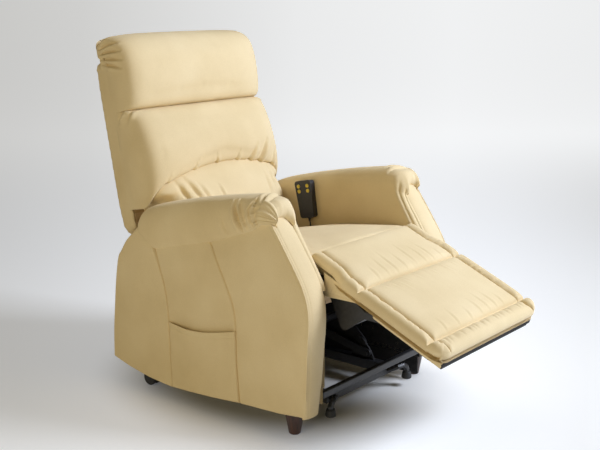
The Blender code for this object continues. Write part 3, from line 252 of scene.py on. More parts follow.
STAINED = grained("stained_wood", (0.078, 0.026, 0.011), (0.024, 0.008, 0.004), (1, 1, 0.08), 0.42, 0.35)
TIMBER = grained("frame_wood", (0.62, 0.46, 0.28), (0.47, 0.32, 0.17), (0.12, 1, 1), 0.70, 0.0)
LINING = pebbled("black_lining", (0.020, 0.020, 0.021), (0.011, 0.011, 0.012), 0.90, 420.0, 0.0008)
FINISHES = {"black_steel": STEEL, "black_plastic": PLASTIC, "black_rubber": RUBBER, "yellow_key": KEY,
            "bright_steel": PLATED, "stained_wood": STAINED, "frame_wood": TIMBER, "black_lining": LINING,
            "cream_fabric": CREAM}
for part in frame["record"]["subparts"]:
    mesh = NODES[part["node"]].data
    mesh.materials.clear()
    mesh.materials.append(FINISHES[part["material_slot"]])
print("finishes:", len(FINISHES))


# %% [markdown]
# ## Keeping a piece
# A finished piece sits at the origin with its place in its mesh. This helper names it, gives it a finish and its
# record slot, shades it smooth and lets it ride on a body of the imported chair.


# %% Piece helpers
def new_object(name, bm):
    mesh = bpy.data.meshes.new(name)
    bm.to_mesh(mesh)
    bm.free()
    made = bpy.data.objects.new(name, mesh)
    SCENE.collection.objects.link(made)
    return made


def dressed(piece, finish, body=None, replaces=()):
    piece.data.materials.clear()
    piece.data.materials.append(FINISHES[finish])
    piece.data.polygons.foreach_set("use_smooth", [True] * len(piece.data.polygons))
    if body:
        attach(piece, body)
    if replaces:
        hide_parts(*replaces)
    print(piece.name, "faces:", len(piece.data.polygons))
    return piece


def points_of(piece):
    co = np.empty(len(piece.data.vertices) * 3)
    piece.data.vertices.foreach_get("co", co)
    return co.reshape(-1, 3)


def normals_of(piece):
    flat = np.empty(len(piece.data.vertices) * 3)
    piece.data.vertices.foreach_get("normal", flat)
    return flat.reshape(-1, 3)


def set_points(piece, points):
    piece.data.vertices.foreach_set("co", np.asarray(points, float).ravel())
    piece.data.update()


def inside(points, axes):
    back_again = np.array(axes.inverted())
    return points @ back_again[:3, :3].T + back_again[:3, 3]


def outside(points, axes):
    forward = np.array(axes)
    return points @ forward[:3, :3].T + forward[:3, 3]


def finished_mesh(piece):
    ready = bpy.data.meshes.new_from_object(piece.evaluated_get(bpy.context.evaluated_depsgraph_get()))
    piece.modifiers.clear()
    old, piece.data = piece.data, ready
    bpy.data.meshes.remove(old)
    return piece


def smooth_line(points, steps=8):
    """A smooth line through a few points, by the same rule as a spring strip bent round pins."""
    p = np.array([points[0], *points, points[-1]], float)
    t = np.linspace(0, 1, steps, endpoint=False)[:, None]
    runs = [0.5 * (2 * b + (c - a) * t + (2 * a - 5 * b + 4 * c - d) * t ** 2 + (3 * b - a - 3 * c + d) * t ** 3)
            for a, b, c, d in zip(p, p[1:], p[2:], p[3:])]
    return np.concatenate([*runs, p[-1:]])


# %% [markdown]
# ## The handset's cord
# The cord is a fixed 1.18 m of 5 mm cable. It leaves the handset, drops down the gap beside the seat, winds into five
# turns and enters the control box. A curve with a round bevel is the natural tool, because its line is the cord's
# centre.

# %% Handset cord
CORD_DROP = ((0.2405, 0.0398, 0.462), (0.2412, 0.0395, 0.446), (0.2415, 0.0405, 0.425), (0.2415, 0.0430, 0.395),
             (0.2415, 0.0450, 0.350), (0.2415, 0.0458, 0.300), (0.2420, 0.0460, 0.255), (0.2425, 0.0460, 0.225))
CORD_TAIL = ((0.2425, 0.0755, 0.188), (0.2425, 0.0800, 0.179), (0.2420, 0.0875, 0.1745), (0.2415, 0.0965, 0.1735),
             (0.2415, 0.1057, 0.1735))
HANDSET_CENTRE, HANDSET_LEAN = (0.2407, 0.0563, 0.5493), math.radians(11.0)
BOSS_BELOW, STRAIGHT_START, CORD_RADIUS = 0.0763, 0.005, 0.0025
COIL_START, COIL_RADIUS, COIL_PITCH = (0.215, 0.046, 0.200), 0.0275, 0.0056
COIL_TURNS, TURN_STEPS = 5, 12


def cord_route():
    down = Vector((0, math.sin(HANDSET_LEAN), math.cos(HANDSET_LEAN))) * -1
    boss = chair(*HANDSET_CENTRE) + down * BOSS_BELOW
    x, y, z = COIL_START
    turns = []
    for i in range(COIL_TURNS * TURN_STEPS + 1):
        angle = 2 * math.pi * i / TURN_STEPS
        turns.append(chair(x + COIL_RADIUS * math.cos(angle), y + COIL_PITCH * i / TURN_STEPS,
                           z - COIL_RADIUS * math.sin(angle)))
    first = [boss, boss + down * STRAIGHT_START]
    return first + [chair(*p) for p in CORD_DROP] + turns + [chair(*p) for p in CORD_TAIL]


def round_cord(name, points, radius):
    curve = bpy.data.curves.new(name, "CURVE")
    curve.dimensions = "3D"
    curve.bevel_depth = radius
    curve.bevel_resolution = 4
    curve.use_fill_caps = True
    line = curve.splines.new("POLY")
    line.points.add(len(points) - 1)
    for place, point in zip(line.points, points):
        place.co = (*point, 1)
    made = bpy.data.objects.new(name, curve)
    SCENE.collection.objects.link(made)
    return made


route = cord_route()
cord = round_cord("handset_cable", route, CORD_RADIUS)
cord.data.materials.append(RUBBER)
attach(cord, "chassis")
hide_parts("handset_cord")

# %% [markdown]
# ## The studio
# The floor runs out to the horizon, so the whole background is floor, as in a photo studio. Part of its brightness is
# a glow that only the camera and reflections see, so the background stays pale while the floor still takes the
# chair's shadow and throws no extra light on it.


# %% Floor and world
FAR_GLOW = ((0.0, 0.45), (0.15, 0.49), (0.5, 0.69), (0.75, 0.74), (1.0, 0.71))
NEAR_GLOW = ((0.0, 0.25), (0.17, 0.29), (0.33, 0.30), (0.67, 0.42), (0.85, 0.29), (1.0, 0.15))
SEEN_HALF, NEAR_END, FAR_START = 0.30, 3.4, 9.5
FLOOR_HALF = 700.0


def soft_range(tree, value, low, high, **settings):
    """Takes a value between two limits to 0 and 1."""
    limits = {"From Min": low, "From Max": high, **settings}
    return add_node(tree, "ShaderNodeMapRange", limits, Value=value).outputs["Result"]


def floor_glow(tree, place):
    """Paleness of the floor for the camera: from the dim left of the studio to its bright right, near and far."""
    to_camera = {"Rotation": (0, 0, -AZIMUTH), "Location": (0.045, 3.07, 0)}
    turned = add_node(tree, "ShaderNodeMapping", to_camera, Vector=place)
    split = add_node(tree, "ShaderNodeSeparateXYZ", Vector=turned.outputs["Vector"])
    depth = add_node(tree, "ShaderNodeMath", {"operation": "MAXIMUM"})
    depth.inputs[1].default_value = 1.0
    tree.links.new(split.outputs["Y"], depth.inputs[0])
    across = add_node(tree, "ShaderNodeMath", {"operation": "DIVIDE"})
    tree.links.new(split.outputs["X"], across.inputs[0])
    tree.links.new(depth.outputs[0], across.inputs[1])
    share = soft_range(tree, across.outputs[0], -SEEN_HALF, SEEN_HALF)
    far = ramp(tree, share, *[(at, (v, v * 1.04, v * 1.11)) for at, v in FAR_GLOW])
    near = ramp(tree, share, *[(at, (v, v * 1.08, v * 1.24)) for at, v in NEAR_GLOW])
    depth_share = soft_range(tree, split.outputs["Y"], NEAR_END, FAR_START, interpolation_type="SMOOTHSTEP")
    return mixed(tree, near, far, depth_share, "MIX")


def clear_of_chair(tree, place):
    """No glow under the chair, so that its shadow there stays deep."""
    around = add_node(tree, "ShaderNodeMapping", {"Scale": (2.6, 2.1, 1), "Location": (0, -0.30, 0)}, Vector=place)
    length = add_node(tree, "ShaderNodeVectorMath", {"operation": "LENGTH"})
    tree.links.new(around.outputs["Vector"], length.inputs[0])
    return soft_range(tree, length.outputs["Value"], 0.75, 1.5, interpolation_type="SMOOTHSTEP")


def studio_floor():
    bm = bmesh.new()
    bmesh.ops.create_grid(bm, x_segments=2, y_segments=2, size=FLOOR_HALF)
    floor = new_object("studio_floor", bm)
    material, tree, shader, place = start_material("pale_floor", Roughness=0.42, Specular_IOR_Level=0.25)
    shader.inputs["Base Color"].default_value = (0.79, 0.78, 0.745, 1)
    light = add_node(tree, "ShaderNodeEmission", Color=floor_glow(tree, place), Strength=clear_of_chair(tree, place))
    seen = add_node(tree, "ShaderNodeLightPath")
    either = add_node(tree, "ShaderNodeMath", {"operation": "MAXIMUM"})
    tree.links.new(seen.outputs["Is Camera Ray"], either.inputs[0])
    tree.links.new(seen.outputs["Is Glossy Ray"], either.inputs[1])
    nothing = add_node(tree, "ShaderNodeEmission", {"Strength": 0.0})
    chosen = add_node(tree, "ShaderNodeMixShader", Fac=either.outputs[0])
    tree.links.new(nothing.outputs[0], chosen.inputs[1])
    tree.links.new(light.outputs[0], chosen.inputs[2])
    total = add_node(tree, "ShaderNodeAddShader")
    tree.links.new(shader.outputs[0], total.inputs[0])
    tree.links.new(chosen.outputs[0], total.inputs[1])
    tree.links.new(total.outputs[0], tree.nodes["Material Output"].inputs["Surface"])
    floor.data.materials.append(material)


def studio_world():
    world = bpy.data.worlds.new("studio")
    SCENE.world = world
    world.use_nodes = True
    tree = world.node_tree
    fill = tree.nodes["Background"]
    fill.inputs["Color"].default_value = (1.0, 0.85, 0.52, 1)
    fill.inputs["Strength"].default_value = 0.16
    seen = add_node(tree, "ShaderNodeLightPath")
    pale = add_node(tree, "ShaderNodeBackground", {"Color": (0.82, 0.82, 0.82, 1), "Strength": 1.0})
    chosen = add_node(tree, "ShaderNodeMixShader", Fac=seen.outputs["Is Camera Ray"])
    tree.links.new(fill.outputs[0], chosen.inputs[1])
    tree.links.new(pale.outputs[0], chosen.inputs[2])
    tree.links.new(chosen.outputs[0], tree.nodes["World Output"].inputs["Surface"])


def soft_box(name, place, target, size, power, colour):
    lamp = bpy.data.objects.new(name, bpy.data.lights.new(name, "AREA"))
    lamp.data.size = size
    lamp.data.energy = power
    lamp.data.color = colour
    lamp.location = place
    lamp.rotation_euler = (Vector(target) - Vector(place)).to_track_quat("-Z", "Y").to_euler()
    SCENE.collection.objects.link(lamp)


studio_floor()
studio_world()
soft_box("key_light", (1.75, -2.95, 2.75), (0, 0, 0.6), 1.5, 205.0, (0.785, 0.85, 1.0))
soft_box("top_light", (0.3, 0.2, 3.4), (0, 0, 0.5), 2.4, 13.0, (1.0, 0.98, 0.95))
soft_box("low_fill", (-3.0, -0.4, 0.6), (0, 0, 0.5), 1.8, 26.0, (1.0, 0.89, 0.64))
SCENE.view_settings.view_transform = "Standard"

# %% [markdown]
# ## From solid to cushion
# A cushion starts as a copy of its plain solid. A voxel remesh gives it an even skin, a cloth simulation with air
# pressure swells that skin where nothing holds it, and a limit on the movement keeps it in its place. Seams, pleats
# and gathers are pressed in afterwards, because the remesh would lose them.


# %% Cushion helpers
SKIN_VOXEL, BOARD_VOXEL = 0.006, 0.004


def solid_copy(name, *nodes):
    bm = bmesh.new()
    for node in nodes:
        bm.from_mesh(NODES[node].data)
    bmesh.ops.remove_doubles(bm, verts=bm.verts, dist=1e-5)
    return new_object(name, bm)


def remeshed(piece, voxel):
    skin = piece.modifiers.new("Remesh", "REMESH")
    skin.mode = "VOXEL"
    skin.voxel_size = voxel
    return finished_mesh(piece)


def eased(piece, rounds):
    bm = bmesh.new()
    bm.from_mesh(piece.data)
    for _ in range(rounds):
        bmesh.ops.smooth_vert(bm, verts=bm.verts, factor=0.5, use_axis_x=True, use_axis_y=True, use_axis_z=True)
    bm.to_mesh(piece.data)
    bm.free()
    return piece


def pushed(piece, offsets):
    """Moves every point along its own normal."""
    set_points(piece, points_of(piece) + normals_of(piece) * np.asarray(offsets).reshape(-1, 1))
    return piece


def finer(piece):
    levels = piece.modifiers.new("Finer", "SUBSURF")
    levels.levels = 1
    levels.render_levels = 1
    return finished_mesh(piece)


SWELL_FRAMES = 20


def swell(piece, held, cap, pressure=4.0):
    """Blows a piece up like a cushion: held points stay, the rest moves outward, and none further than cap."""
    start, outward = points_of(piece), normals_of(piece)
    group = piece.vertex_groups.new(name="held")
    group.add([int(i) for i in np.flatnonzero(held)], 1.0, "REPLACE")
    cloth = piece.modifiers.new("Cloth", "CLOTH")
    cloth.point_cache.frame_start = 1
    cloth.point_cache.frame_end = SWELL_FRAMES
    cloth.settings.quality = 5
    cloth.settings.mass = 0.3
    cloth.settings.use_pressure = True
    cloth.settings.uniform_pressure_force = pressure
    cloth.settings.vertex_group_mass = "held"
    cloth.settings.effector_weights.gravity = 0
    cloth.collision_settings.use_collision = False
    for step in range(1, SWELL_FRAMES + 1):
        SCENE.frame_set(step)
    ready = piece.evaluated_get(bpy.context.evaluated_depsgraph_get()).data
    ended = np.empty(len(ready.vertices) * 3)
    ready.vertices.foreach_get("co", ended)
    rise = np.sum((ended.reshape(-1, 3) - start) * outward, axis=1, keepdims=True)
    piece.modifiers.clear()
    piece.vertex_groups.clear()
    SCENE.frame_set(1)
    rise = cap * np.tanh(np.maximum(rise, 0) / cap)
    set_points(piece, start + outward * rise)
    print(piece.name, "swelled by", round(float(rise.mean()), 4), "m, at most", round(float(rise.max()), 4))
    return eased(piece, 3)


# %% [markdown]
# ## Seams, folds and gathers
# Each is a small push along the surface: a seam is a narrow valley along a line, a fold is a ridge beside a valley
# that fades out at both ends, and gathers are uneven waves that are strongest at the seam that made them.


# %% Sewing helpers
def distance_to(points, line):
    """Distance of 2-D points from a line, and how far along it (0 to 1) the nearest place is."""
    line = np.asarray(line, float)
    lengths = np.linalg.norm(np.diff(line, axis=0), axis=1)
    before = np.concatenate([[0], np.cumsum(lengths)])
    best = np.full(len(points), 9.0)
    share = np.zeros(len(points))
    for a, b, length, passed in zip(line, line[1:], lengths, before):
        t = np.clip(((points - a) @ (b - a)) / max(length, 1e-9) ** 2, 0, 1)
        gap = np.linalg.norm(points - a - t[:, None] * (b - a), axis=1)
        nearer = gap < best
        best[nearer] = gap[nearer]
        share[nearer] = ((passed + t * length) / before[-1])[nearer]
    return best, share


def fold(points, line, width, height, crisp=0.0):
    """A soft ridge with a valley beside it, fading out towards both ends of its line; crisp cuts the valley sharper."""
    line = np.asarray(line, float)
    gap, share = distance_to(points, line)
    chord = line[-1] - line[0]
    side = np.sign(chord[0] * (points[:, 1] - line[0][1]) - chord[1] * (points[:, 0] - line[0][0]))
    fade = np.sin(np.pi * np.clip(share, 0.04, 0.96)) ** 0.6
    across = gap * side / width
    valley = np.exp(-((across + 0.5) / 0.7) ** 2) + crisp * np.exp(-((across + 0.30) / 0.30) ** 2)
    return height * fade * (np.exp(-(across - 0.7) ** 2) - valley)


def folds_of(points, table, crisp=0.0):
    """All folds of a table. A row holds the points of a line, then the fold's width and height."""
    return sum(fold(points, line, width, height, crisp) for *line, width, height in table)


def waves(across, *parts):
    return sum(size * np.sin(2 * np.pi * across / length + shift) for length, size, shift in parts)


def creases(across, length, shift):
    """Narrow valleys between rounded puffs, unevenly spaced: 1 in a valley, 0 on a puff."""
    drift = 0.22 * length * np.sin(across / (0.37 * length) + shift)
    drift += 0.3 * length * np.sin(across / (0.83 * length) + 2 * shift)
    return (1 - np.abs(np.sin(np.pi * (across + drift) / length + shift))) ** 2


def smoothstep(value, low, high):
    t = np.clip((value - low) / (high - low), 0, 1)
    return t * t * (3 - 2 * t)


def read_off(table, value):
    """Reads values off a table of (from, to) pairs, straight between its rows."""
    return np.interp(value, *np.array(table).T)


# %% [markdown]
# ## Shells from a grid
# The back pillows, the legrest's cover, the arms and the side panels are sewn from flat cloth over padding, with long
# clean seams. A fine grid holds such seams better than a remeshed solid: one operator makes the grid, one extrudes it
# to a closed shell, and a shape function places the outer and the inner points.


# %% Grid shell
def grid_shell(name, columns, rows, shape):
    bm = bmesh.new()
    bmesh.ops.create_grid(bm, x_segments=columns, y_segments=rows, size=1.0)
    grown = bmesh.ops.extrude_face_region(bm, geom=bm.faces[:], use_keep_orig=True)
    fronts = {v for v in grown["geom"] if isinstance(v, bmesh.types.BMVert)}
    is_outer = np.array([[v in fronts] for v in bm.verts])
    piece = new_object(name, bm)
    flat = (points_of(piece)[:, :2] + 1) / 2
    outer, inner = shape(flat[:, 0], flat[:, 1])
    set_points(piece, np.where(is_outer, outer, inner))
    bm = bmesh.new()
    bm.from_mesh(piece.data)
    bmesh.ops.remove_doubles(bm, verts=bm.verts, dist=2e-5)
    bmesh.ops.recalc_face_normals(bm, faces=bm.faces)
    bm.to_mesh(piece.data)
    bm.free()
    return piece


def resampled(line, share):
    """Points of a line at given shares of its length."""
    line = np.asarray(line, float)
    passed = np.concatenate([[0], np.cumsum(np.linalg.norm(np.diff(line, axis=0), axis=1))])
    return np.stack([np.interp(share * passed[-1], passed, column) for column in line.T], -1)


def rolled(gap, radius):
    """How far an edge of a padded sheet has rolled back at a given distance from its outline."""
    near = np.clip(1 - gap / radius, 0, 1)
    return radius * (1 - np.sqrt(1 - near * near))


# %% [markdown]
# ## The three back pillows
# A back pillow is a loaf: one profile up the back, drawn in at both ends towards a line of seams on the outer shell.
# The loaves are blown up a little by the cloth simulation. The middle pillow's lower edge is an arch that hangs over
# the lumbar pillow. Pleats at the headrest's corners and gathers along the arch take up the spare cloth.

# %% Profiles up the back: (up, forward)
HEAD_PROFILE = ((0.3230, 0.001), (0.3228, 0.055), (0.3235, 0.080), (0.3285, 0.0965), (0.340, 0.1065),
                (0.360, 0.1130), (0.390, 0.1175), (0.430, 0.120), (0.475, 0.117), (0.515, 0.105), (0.544, 0.082),
                (0.561, 0.050), (0.5660, 0.015), (0.563, -0.014), (0.553, -0.033), (0.538, -0.037))
MIDDLE_PROFILE = ((0.165, 0.092), (0.140, 0.104), (0.126, 0.114), (0.1190, 0.126), (0.1200, 0.138), (0.128, 0.147),
                  (0.148, 0.1530), (0.175, 0.1550), (0.210, 0.152), (0.245, 0.1435), (0.275, 0.132), (0.298, 0.119),
                  (0.3130, 0.104), (0.3205, 0.084), (0.3226, 0.058), (0.3228, 0.001))
LUMBAR_PROFILE = ((-0.130, 0.001), (-0.131, 0.080), (-0.128, 0.150), (-0.115, 0.190), (-0.090, 0.204),
                  (-0.050, 0.203), (0.000, 0.191), (0.045, 0.174), (0.085, 0.155), (0.115, 0.135), (0.135, 0.112),
                  (0.150, 0.085), (0.153, 0.050), (0.153, 0.001))
ARCH_TOP, PILLOW_TOP, PILLOW_REAR = 0.119, 0.3228, 0.0008
ARCH_HALF, ARCH_RISE, LOBE_HANG = 0.290, 0.052, 0.052
ARM_TOPS = ((-0.066, 0.660), (0.073, 0.632), (0.197, 0.600), (0.285, 0.560))
END_STEPS, PROFILE_STEPS, USUAL_DEPTH = 1500, 400, 0.13


def arch(x, hanging=0.0):
    """Lower edge of the middle pillow; its ends hang down where they turn back to the shell."""
    return ARCH_TOP - ARCH_RISE * (x / ARCH_HALF) ** 2 - LOBE_HANG * hanging


def loaf(profile, half, seam, ends, boxy, edge_shape=None, rear=None):
    """A pillow: its profile runs up the back, and its ends are rounded like a superellipse towards a seam line."""
    turn = np.linspace(0, np.pi / 2, END_STEPS)
    end_curve = np.stack([half * np.sin(turn) ** (2 / boxy), np.cos(turn) ** (2 / boxy)], 1)
    fine = resampled(smooth_line(profile), np.linspace(0, 1, PROFILE_STEPS))
    hem = np.argmin(fine[:, 0]) / (PROFILE_STEPS - 1)
    measured = np.stack([end_curve[:, 0], USUAL_DEPTH * end_curve[:, 1]], 1)
    passed = np.concatenate([[0], np.cumsum(np.linalg.norm(np.diff(measured, axis=0), axis=1))])

    def shape(u, v):
        share = np.abs(2 * u - 1) * passed[-1]
        x = np.sign(u - 0.5) * np.interp(share, passed, end_curve[:, 0])
        drawn = np.interp(share, passed, end_curve[:, 1])
        point = resampled(smooth_line(profile), v)
        anchor = np.stack([np.where(v < hem, ends[0], np.clip(point[:, 0], *ends)), np.full_like(v, seam)], 1)
        up, forward = (anchor + (point - anchor) * drawn[:, None]).T
        if edge_shape:
            x, up = edge_shape(x, up, forward, 1 - drawn)
        behind = np.minimum(forward, rear(up, drawn) if rear else PILLOW_REAR)
        return [outside(np.stack([x, up, f], 1), BACK) for f in (forward, behind)]

    return shape


def over_tray(up, drawn):
    """Rear face of the headrest: on the tray below, over its top edge above, closed at the ends."""
    return PILLOW_REAR - 0.037 * smoothstep(up, 0.488, 0.494) * smoothstep(drawn, 0.05, 0.45)


def arched(x, up, _, hanging):
    lobe = smoothstep(hanging, 0.02, 0.45)
    return x, PILLOW_TOP - (PILLOW_TOP - up) * (PILLOW_TOP - arch(x, lobe)) / (PILLOW_TOP - ARCH_TOP)


def under_arch(x, up, forward, _):
    """Follows the arch, and spreads out over the arms above their tops."""
    rear = BACK_FOOT[0] + math.sin(LEAN) * up - math.cos(LEAN) * forward
    height = BACK_FOOT[1] + math.cos(LEAN) * up + math.sin(LEAN) * forward
    over_arm = height - read_off(ARM_TOPS, rear)
    x = x * (1 + 0.068 * smoothstep(height, 0.530, 0.570) + 0.150 * smoothstep(over_arm, 0.034, 0.080))
    return x, up - (ARCH_TOP - arch(x)) * smoothstep(up, -0.02, ARCH_TOP)


# %% Pleats and gathers of the back
CORNER_PLEATS = (((0.540, -0.024), (0.556, 0.006), (0.562, 0.030)),
                 ((0.524, -0.020), (0.530, 0.020), (0.532, 0.056)),
                 ((0.508, -0.018), (0.508, 0.025), (0.505, 0.064)),
                 ((0.492, -0.016), (0.486, 0.025), (0.478, 0.066)),
                 ((0.476, -0.015), (0.466, 0.025), (0.454, 0.058)))
ARCH_GATHERS = (((0.215, 0.165), (0.170, 0.085), 0.010, 0.0085), ((0.160, 0.155), (0.118, 0.090), 0.009, 0.0065),
                ((0.075, 0.140), (0.062, 0.102), 0.008, 0.0036), ((-0.030, 0.142), (-0.026, 0.108), 0.008, 0.0032),
                ((-0.120, 0.132), (-0.140, 0.095), 0.008, 0.0028), ((0.262, 0.135), (0.238, 0.050), 0.010, 0.0042),
                ((-0.240, 0.100), (-0.262, 0.030), 0.010, 0.0030))
LUMBAR_FOLDS = (((-0.215, 0.075), (-0.200, 0.010), 0.012, 0.0065), ((-0.180, 0.080), (-0.160, 0.010), 0.012, 0.0060),
                ((-0.145, 0.060), (-0.130, 0.005), 0.010, 0.0035), ((-0.072, 0.046), (-0.066, 0.000), 0.008, 0.0028),
                ((0.205, 0.070), (0.190, 0.010), 0.010, 0.0040), ((0.165, 0.055), (0.150, -0.010), 0.010, 0.0030))
CREASE_TUCKS = (((0.292, 0.020), (0.320, 0.040), 0.009, 0.006), ((0.290, 0.060), (0.318, 0.074), 0.009, 0.006))


def headrest_pleats(local):
    flank = smoothstep(np.abs(local[:, 0]), 0.235, 0.275)
    return sum(fold(local[:, 1:], line, 0.0068, 0.0058, 0.9) for line in CORNER_PLEATS) * flank


def middle_gathers(local):
    front = smoothstep(local[:, 2], 0.06, 0.11)
    flank = smoothstep(np.abs(local[:, 0]), 0.25, 0.28)
    return folds_of(local[:, :2], ARCH_GATHERS, 0.5) * front + folds_of(local[:, 1:], CREASE_TUCKS) * flank


def lumbar_folds(local):
    front = smoothstep(local[:, 2], 0.06, 0.12)
    return folds_of(local[:, :2], LUMBAR_FOLDS, 0.4) * front


# %% Back pillows
PILLOW_RISE, PILLOW_PRESSURE, REAR_FACE = 0.008, 2.5, 0.004


def back_pillow(name, shape, columns, rows, folds):
    piece = grid_shell(name, columns, rows, shape)
    swell(piece, inside(points_of(piece), BACK)[:, 2] < REAR_FACE, PILLOW_RISE, PILLOW_PRESSURE)
    finer(piece)
    return pushed(piece, folds(inside(points_of(piece), BACK)))


head_loaf = loaf(HEAD_PROFILE, 0.3025, -0.030, (0.3230, 0.505), 6.5, rear=over_tray)
middle_loaf = loaf(MIDDLE_PROFILE, 0.3030, -0.014, (0.122, PILLOW_TOP), 6.5, arched)
lumbar_loaf = loaf(LUMBAR_PROFILE, 0.2345, PILLOW_REAR, (-0.120, 0.120), 7.0, under_arch)
headrest = back_pillow("headrest_cushion", head_loaf, 132, 76, headrest_pleats)
middle = back_pillow("middle_cushion", middle_loaf, 132, 76, middle_gathers)
lumbar = back_pillow("lumbar_cushion", lumbar_loaf, 110, 80, lumbar_folds)
for piece, node in ((headrest, "headrest_pillow"), (middle, "middle_pillow"), (lumbar, "lumbar_pillow")):
    dressed(piece, "cream_fabric", "backrest", (node,))

# %% [markdown]
# ## The back's outer shell
# Behind the pillows the cover is pulled over a timber frame, so it is nearly flat, with soft edges. A remeshed copy of
# the plain tray is enough: its points are moved to pad the rear, fill the top corners and lower the shoulders.

# %% Back shell
CORNER_ACROSS, CORNER_UP, CORNER_FILL = 0.263, 0.453, 0.4
SHOULDER_ACROSS, SHOULDER_DROP = 0.25, 0.024


def back_shell():
    """Padding behind the tray, fuller top corners, and lower shoulders at the rear of the arms."""
    piece = eased(remeshed(solid_copy("back_shell", "back_tray"), SKIN_VOXEL), 3)
    local = inside(points_of(piece), BACK)
    over = np.clip(np.stack([np.abs(local[:, 0]) - CORNER_ACROSS, local[:, 1] - CORNER_UP], 1), 0, 1)
    fuller = CORNER_FILL * over[:, 0] * over[:, 1] / np.maximum((over ** 2).sum(1), 1e-9)
    local[:, 0] += np.sign(local[:, 0]) * over[:, 0] * fuller
    local[:, 1] += over[:, 1] * fuller
    shoulder = smoothstep(-local[:, 1], 0.045, 0.056) * smoothstep(-local[:, 2], 0.010, 0.030)
    local[:, 1] -= SHOULDER_DROP * (np.abs(local[:, 0]) > SHOULDER_ACROSS) * shoulder
    thicker = 0.23 - 0.09 * smoothstep(local[:, 1], 0.40, 0.48)
    local[:, 2] *= 1 + thicker * smoothstep(local[:, 1], -0.10, 0.05) * (local[:, 2] < 0)
    set_points(piece, outside(local, BACK))
    return piece


shell = back_shell()
dressed(shell, "cream_fabric", "backrest", ("back_tray",))

# %% [markdown]
# ## The seat
# The seat cushion is crowned and runs forward into a rounded nose. The legrest's cover lies over that nose, so the
# nose is drawn in towards the legrest's hinge. Above the steel side plates the cushion swells out to the arms, and
# its rear edge reaches back to the lumbar pillow.


# %% Seat cushion
NOSE_RADIUS, DRAWN_RADIUS = 0.064, 0.028
SEAT_HALF, SEAT_REACH, EDGE_RISE, SEAT_RISE = 0.2495, 0.036, 0.012, 0.012


def seat_cushion():
    piece = remeshed(solid_copy("seat_pad", "seat_cushion"), SKIN_VOXEL)
    local = inside(points_of(piece), LEG)
    drawn = 1 - (1 - DRAWN_RADIUS / NOSE_RADIUS) * smoothstep(local[:, 1], -0.105, -0.055)
    local[:, 1] *= np.where(local[:, 1] > 0, drawn, 1)
    local[:, 2] *= drawn
    points = inside(outside(local, LEG), SIDE)
    rear = points[:, 1].max()
    points[:, 1] += SEAT_REACH * smoothstep(points[:, 1], rear - 0.15, rear)
    half = np.abs(points[:, 0]).max()
    above = smoothstep(points[:, 2], 0.462, 0.480) * smoothstep(points[:, 1], -0.40, -0.36)
    points[:, 0] *= 1 + above * (SEAT_HALF / half - 1)
    edge = smoothstep(np.abs(points[:, 0]), 0.12, 0.24)
    points[:, 2] += EDGE_RISE * edge * above
    set_points(piece, outside(points, SIDE))
    eased(piece, 3)
    points = inside(points_of(piece), SIDE)
    print("seat sides to", round(half, 4), "top", round(points[:, 2].max(), 4), "rear", round(points[:, 1].max(), 4))
    held = (points[:, 2] < 0.45) | (points[:, 1] < -0.36) | (np.abs(points[:, 0]) > 0.243)
    swell(piece, held, SEAT_RISE)
    return finer(piece)


seat = dressed(seat_cushion(), "cream_fabric", "chassis", ("seat_cushion",))

# %% [markdown]
# ## The legrest's cover
# One padded cover runs from a crease on the seat, over the hinge, to the legrest's front edge. Its columns follow a
# profile with a border roll at each side, its rows one with a cross seam and a front roll. The cover is given no
# body: it stays where it is built.

# %% Legrest profiles
SIDE_ROLL = ((0.020, 0.012), (0.008, 0.0165), (0.0015, 0.026), (0.0005, 0.036), (0.0045, 0.0470), (0.0120, 0.0545),
             (0.0200, 0.0560), (0.0285, 0.0515), (0.0340, 0.0450), (0.0375, 0.0375), (0.0410, 0.0440),
             (0.0460, 0.0495), (0.058, 0.0550), (0.085, 0.0590), (0.125, 0.0605), (0.190, 0.0605), (0.2655, 0.0605))
LENGTHWISE = ((-0.066, 0.030), (-0.077, 0.034), (-0.080, 0.043), (-0.072, 0.0525), (-0.052, 0.0585),
              (-0.020, 0.0605), (0.040, 0.0605), (0.078, 0.0580), (0.094, 0.0530), (0.102, 0.0475), (0.1065, 0.0390),
              (0.111, 0.0475), (0.119, 0.0535), (0.137, 0.0585), (0.170, 0.0605), (0.250, 0.0605), (0.310, 0.0580),
              (0.334, 0.0525), (0.345, 0.0460), (0.351, 0.0375), (0.3555, 0.0450), (0.363, 0.0525), (0.375, 0.0560),
              (0.388, 0.0545), (0.399, 0.0475), (0.406, 0.0370), (0.4065, 0.0260), (0.401, 0.0170), (0.392, 0.0140))
LEG_HALF, REAR_HALF, CROSS_SEAM, FRONT_ROLL = 0.2655, 0.2485, 0.1065, 0.351
TOE_ACROSS, TOE_ALONG, COVER_UNDER = 0.2255, 0.3665, 0.0115


def soft_least(a, b, sharpness=420.0):
    return -np.log(np.exp(-sharpness * a) + np.exp(-sharpness * b)) / sharpness


SEAM_FOLDS = ((-0.150, -0.132, 0.060), (-0.120, -0.098, 0.072), (-0.092, -0.078, 0.050), (-0.030, -0.018, 0.045),
              (0.048, 0.060, 0.050), (0.108, 0.126, 0.066), (0.160, 0.172, 0.045), (-0.185, -0.168, 0.040))
REAR_FOLDS = ((-0.155, -0.150, 0.060), (-0.105, -0.104, 0.085), (-0.060, -0.062, 0.100), (-0.015, -0.012, 0.080),
              (0.036, 0.040, 0.105), (0.085, 0.084, 0.080), (0.128, 0.122, 0.090), (0.172, 0.165, 0.050))
TOE_FOLDS = ((-0.160, -0.158, 0.045), (-0.095, -0.092, 0.060), (-0.030, -0.024, 0.045), (0.030, 0.028, 0.065),
             (0.072, 0.066, 0.080), (0.112, 0.104, 0.070), (0.150, 0.144, 0.050))


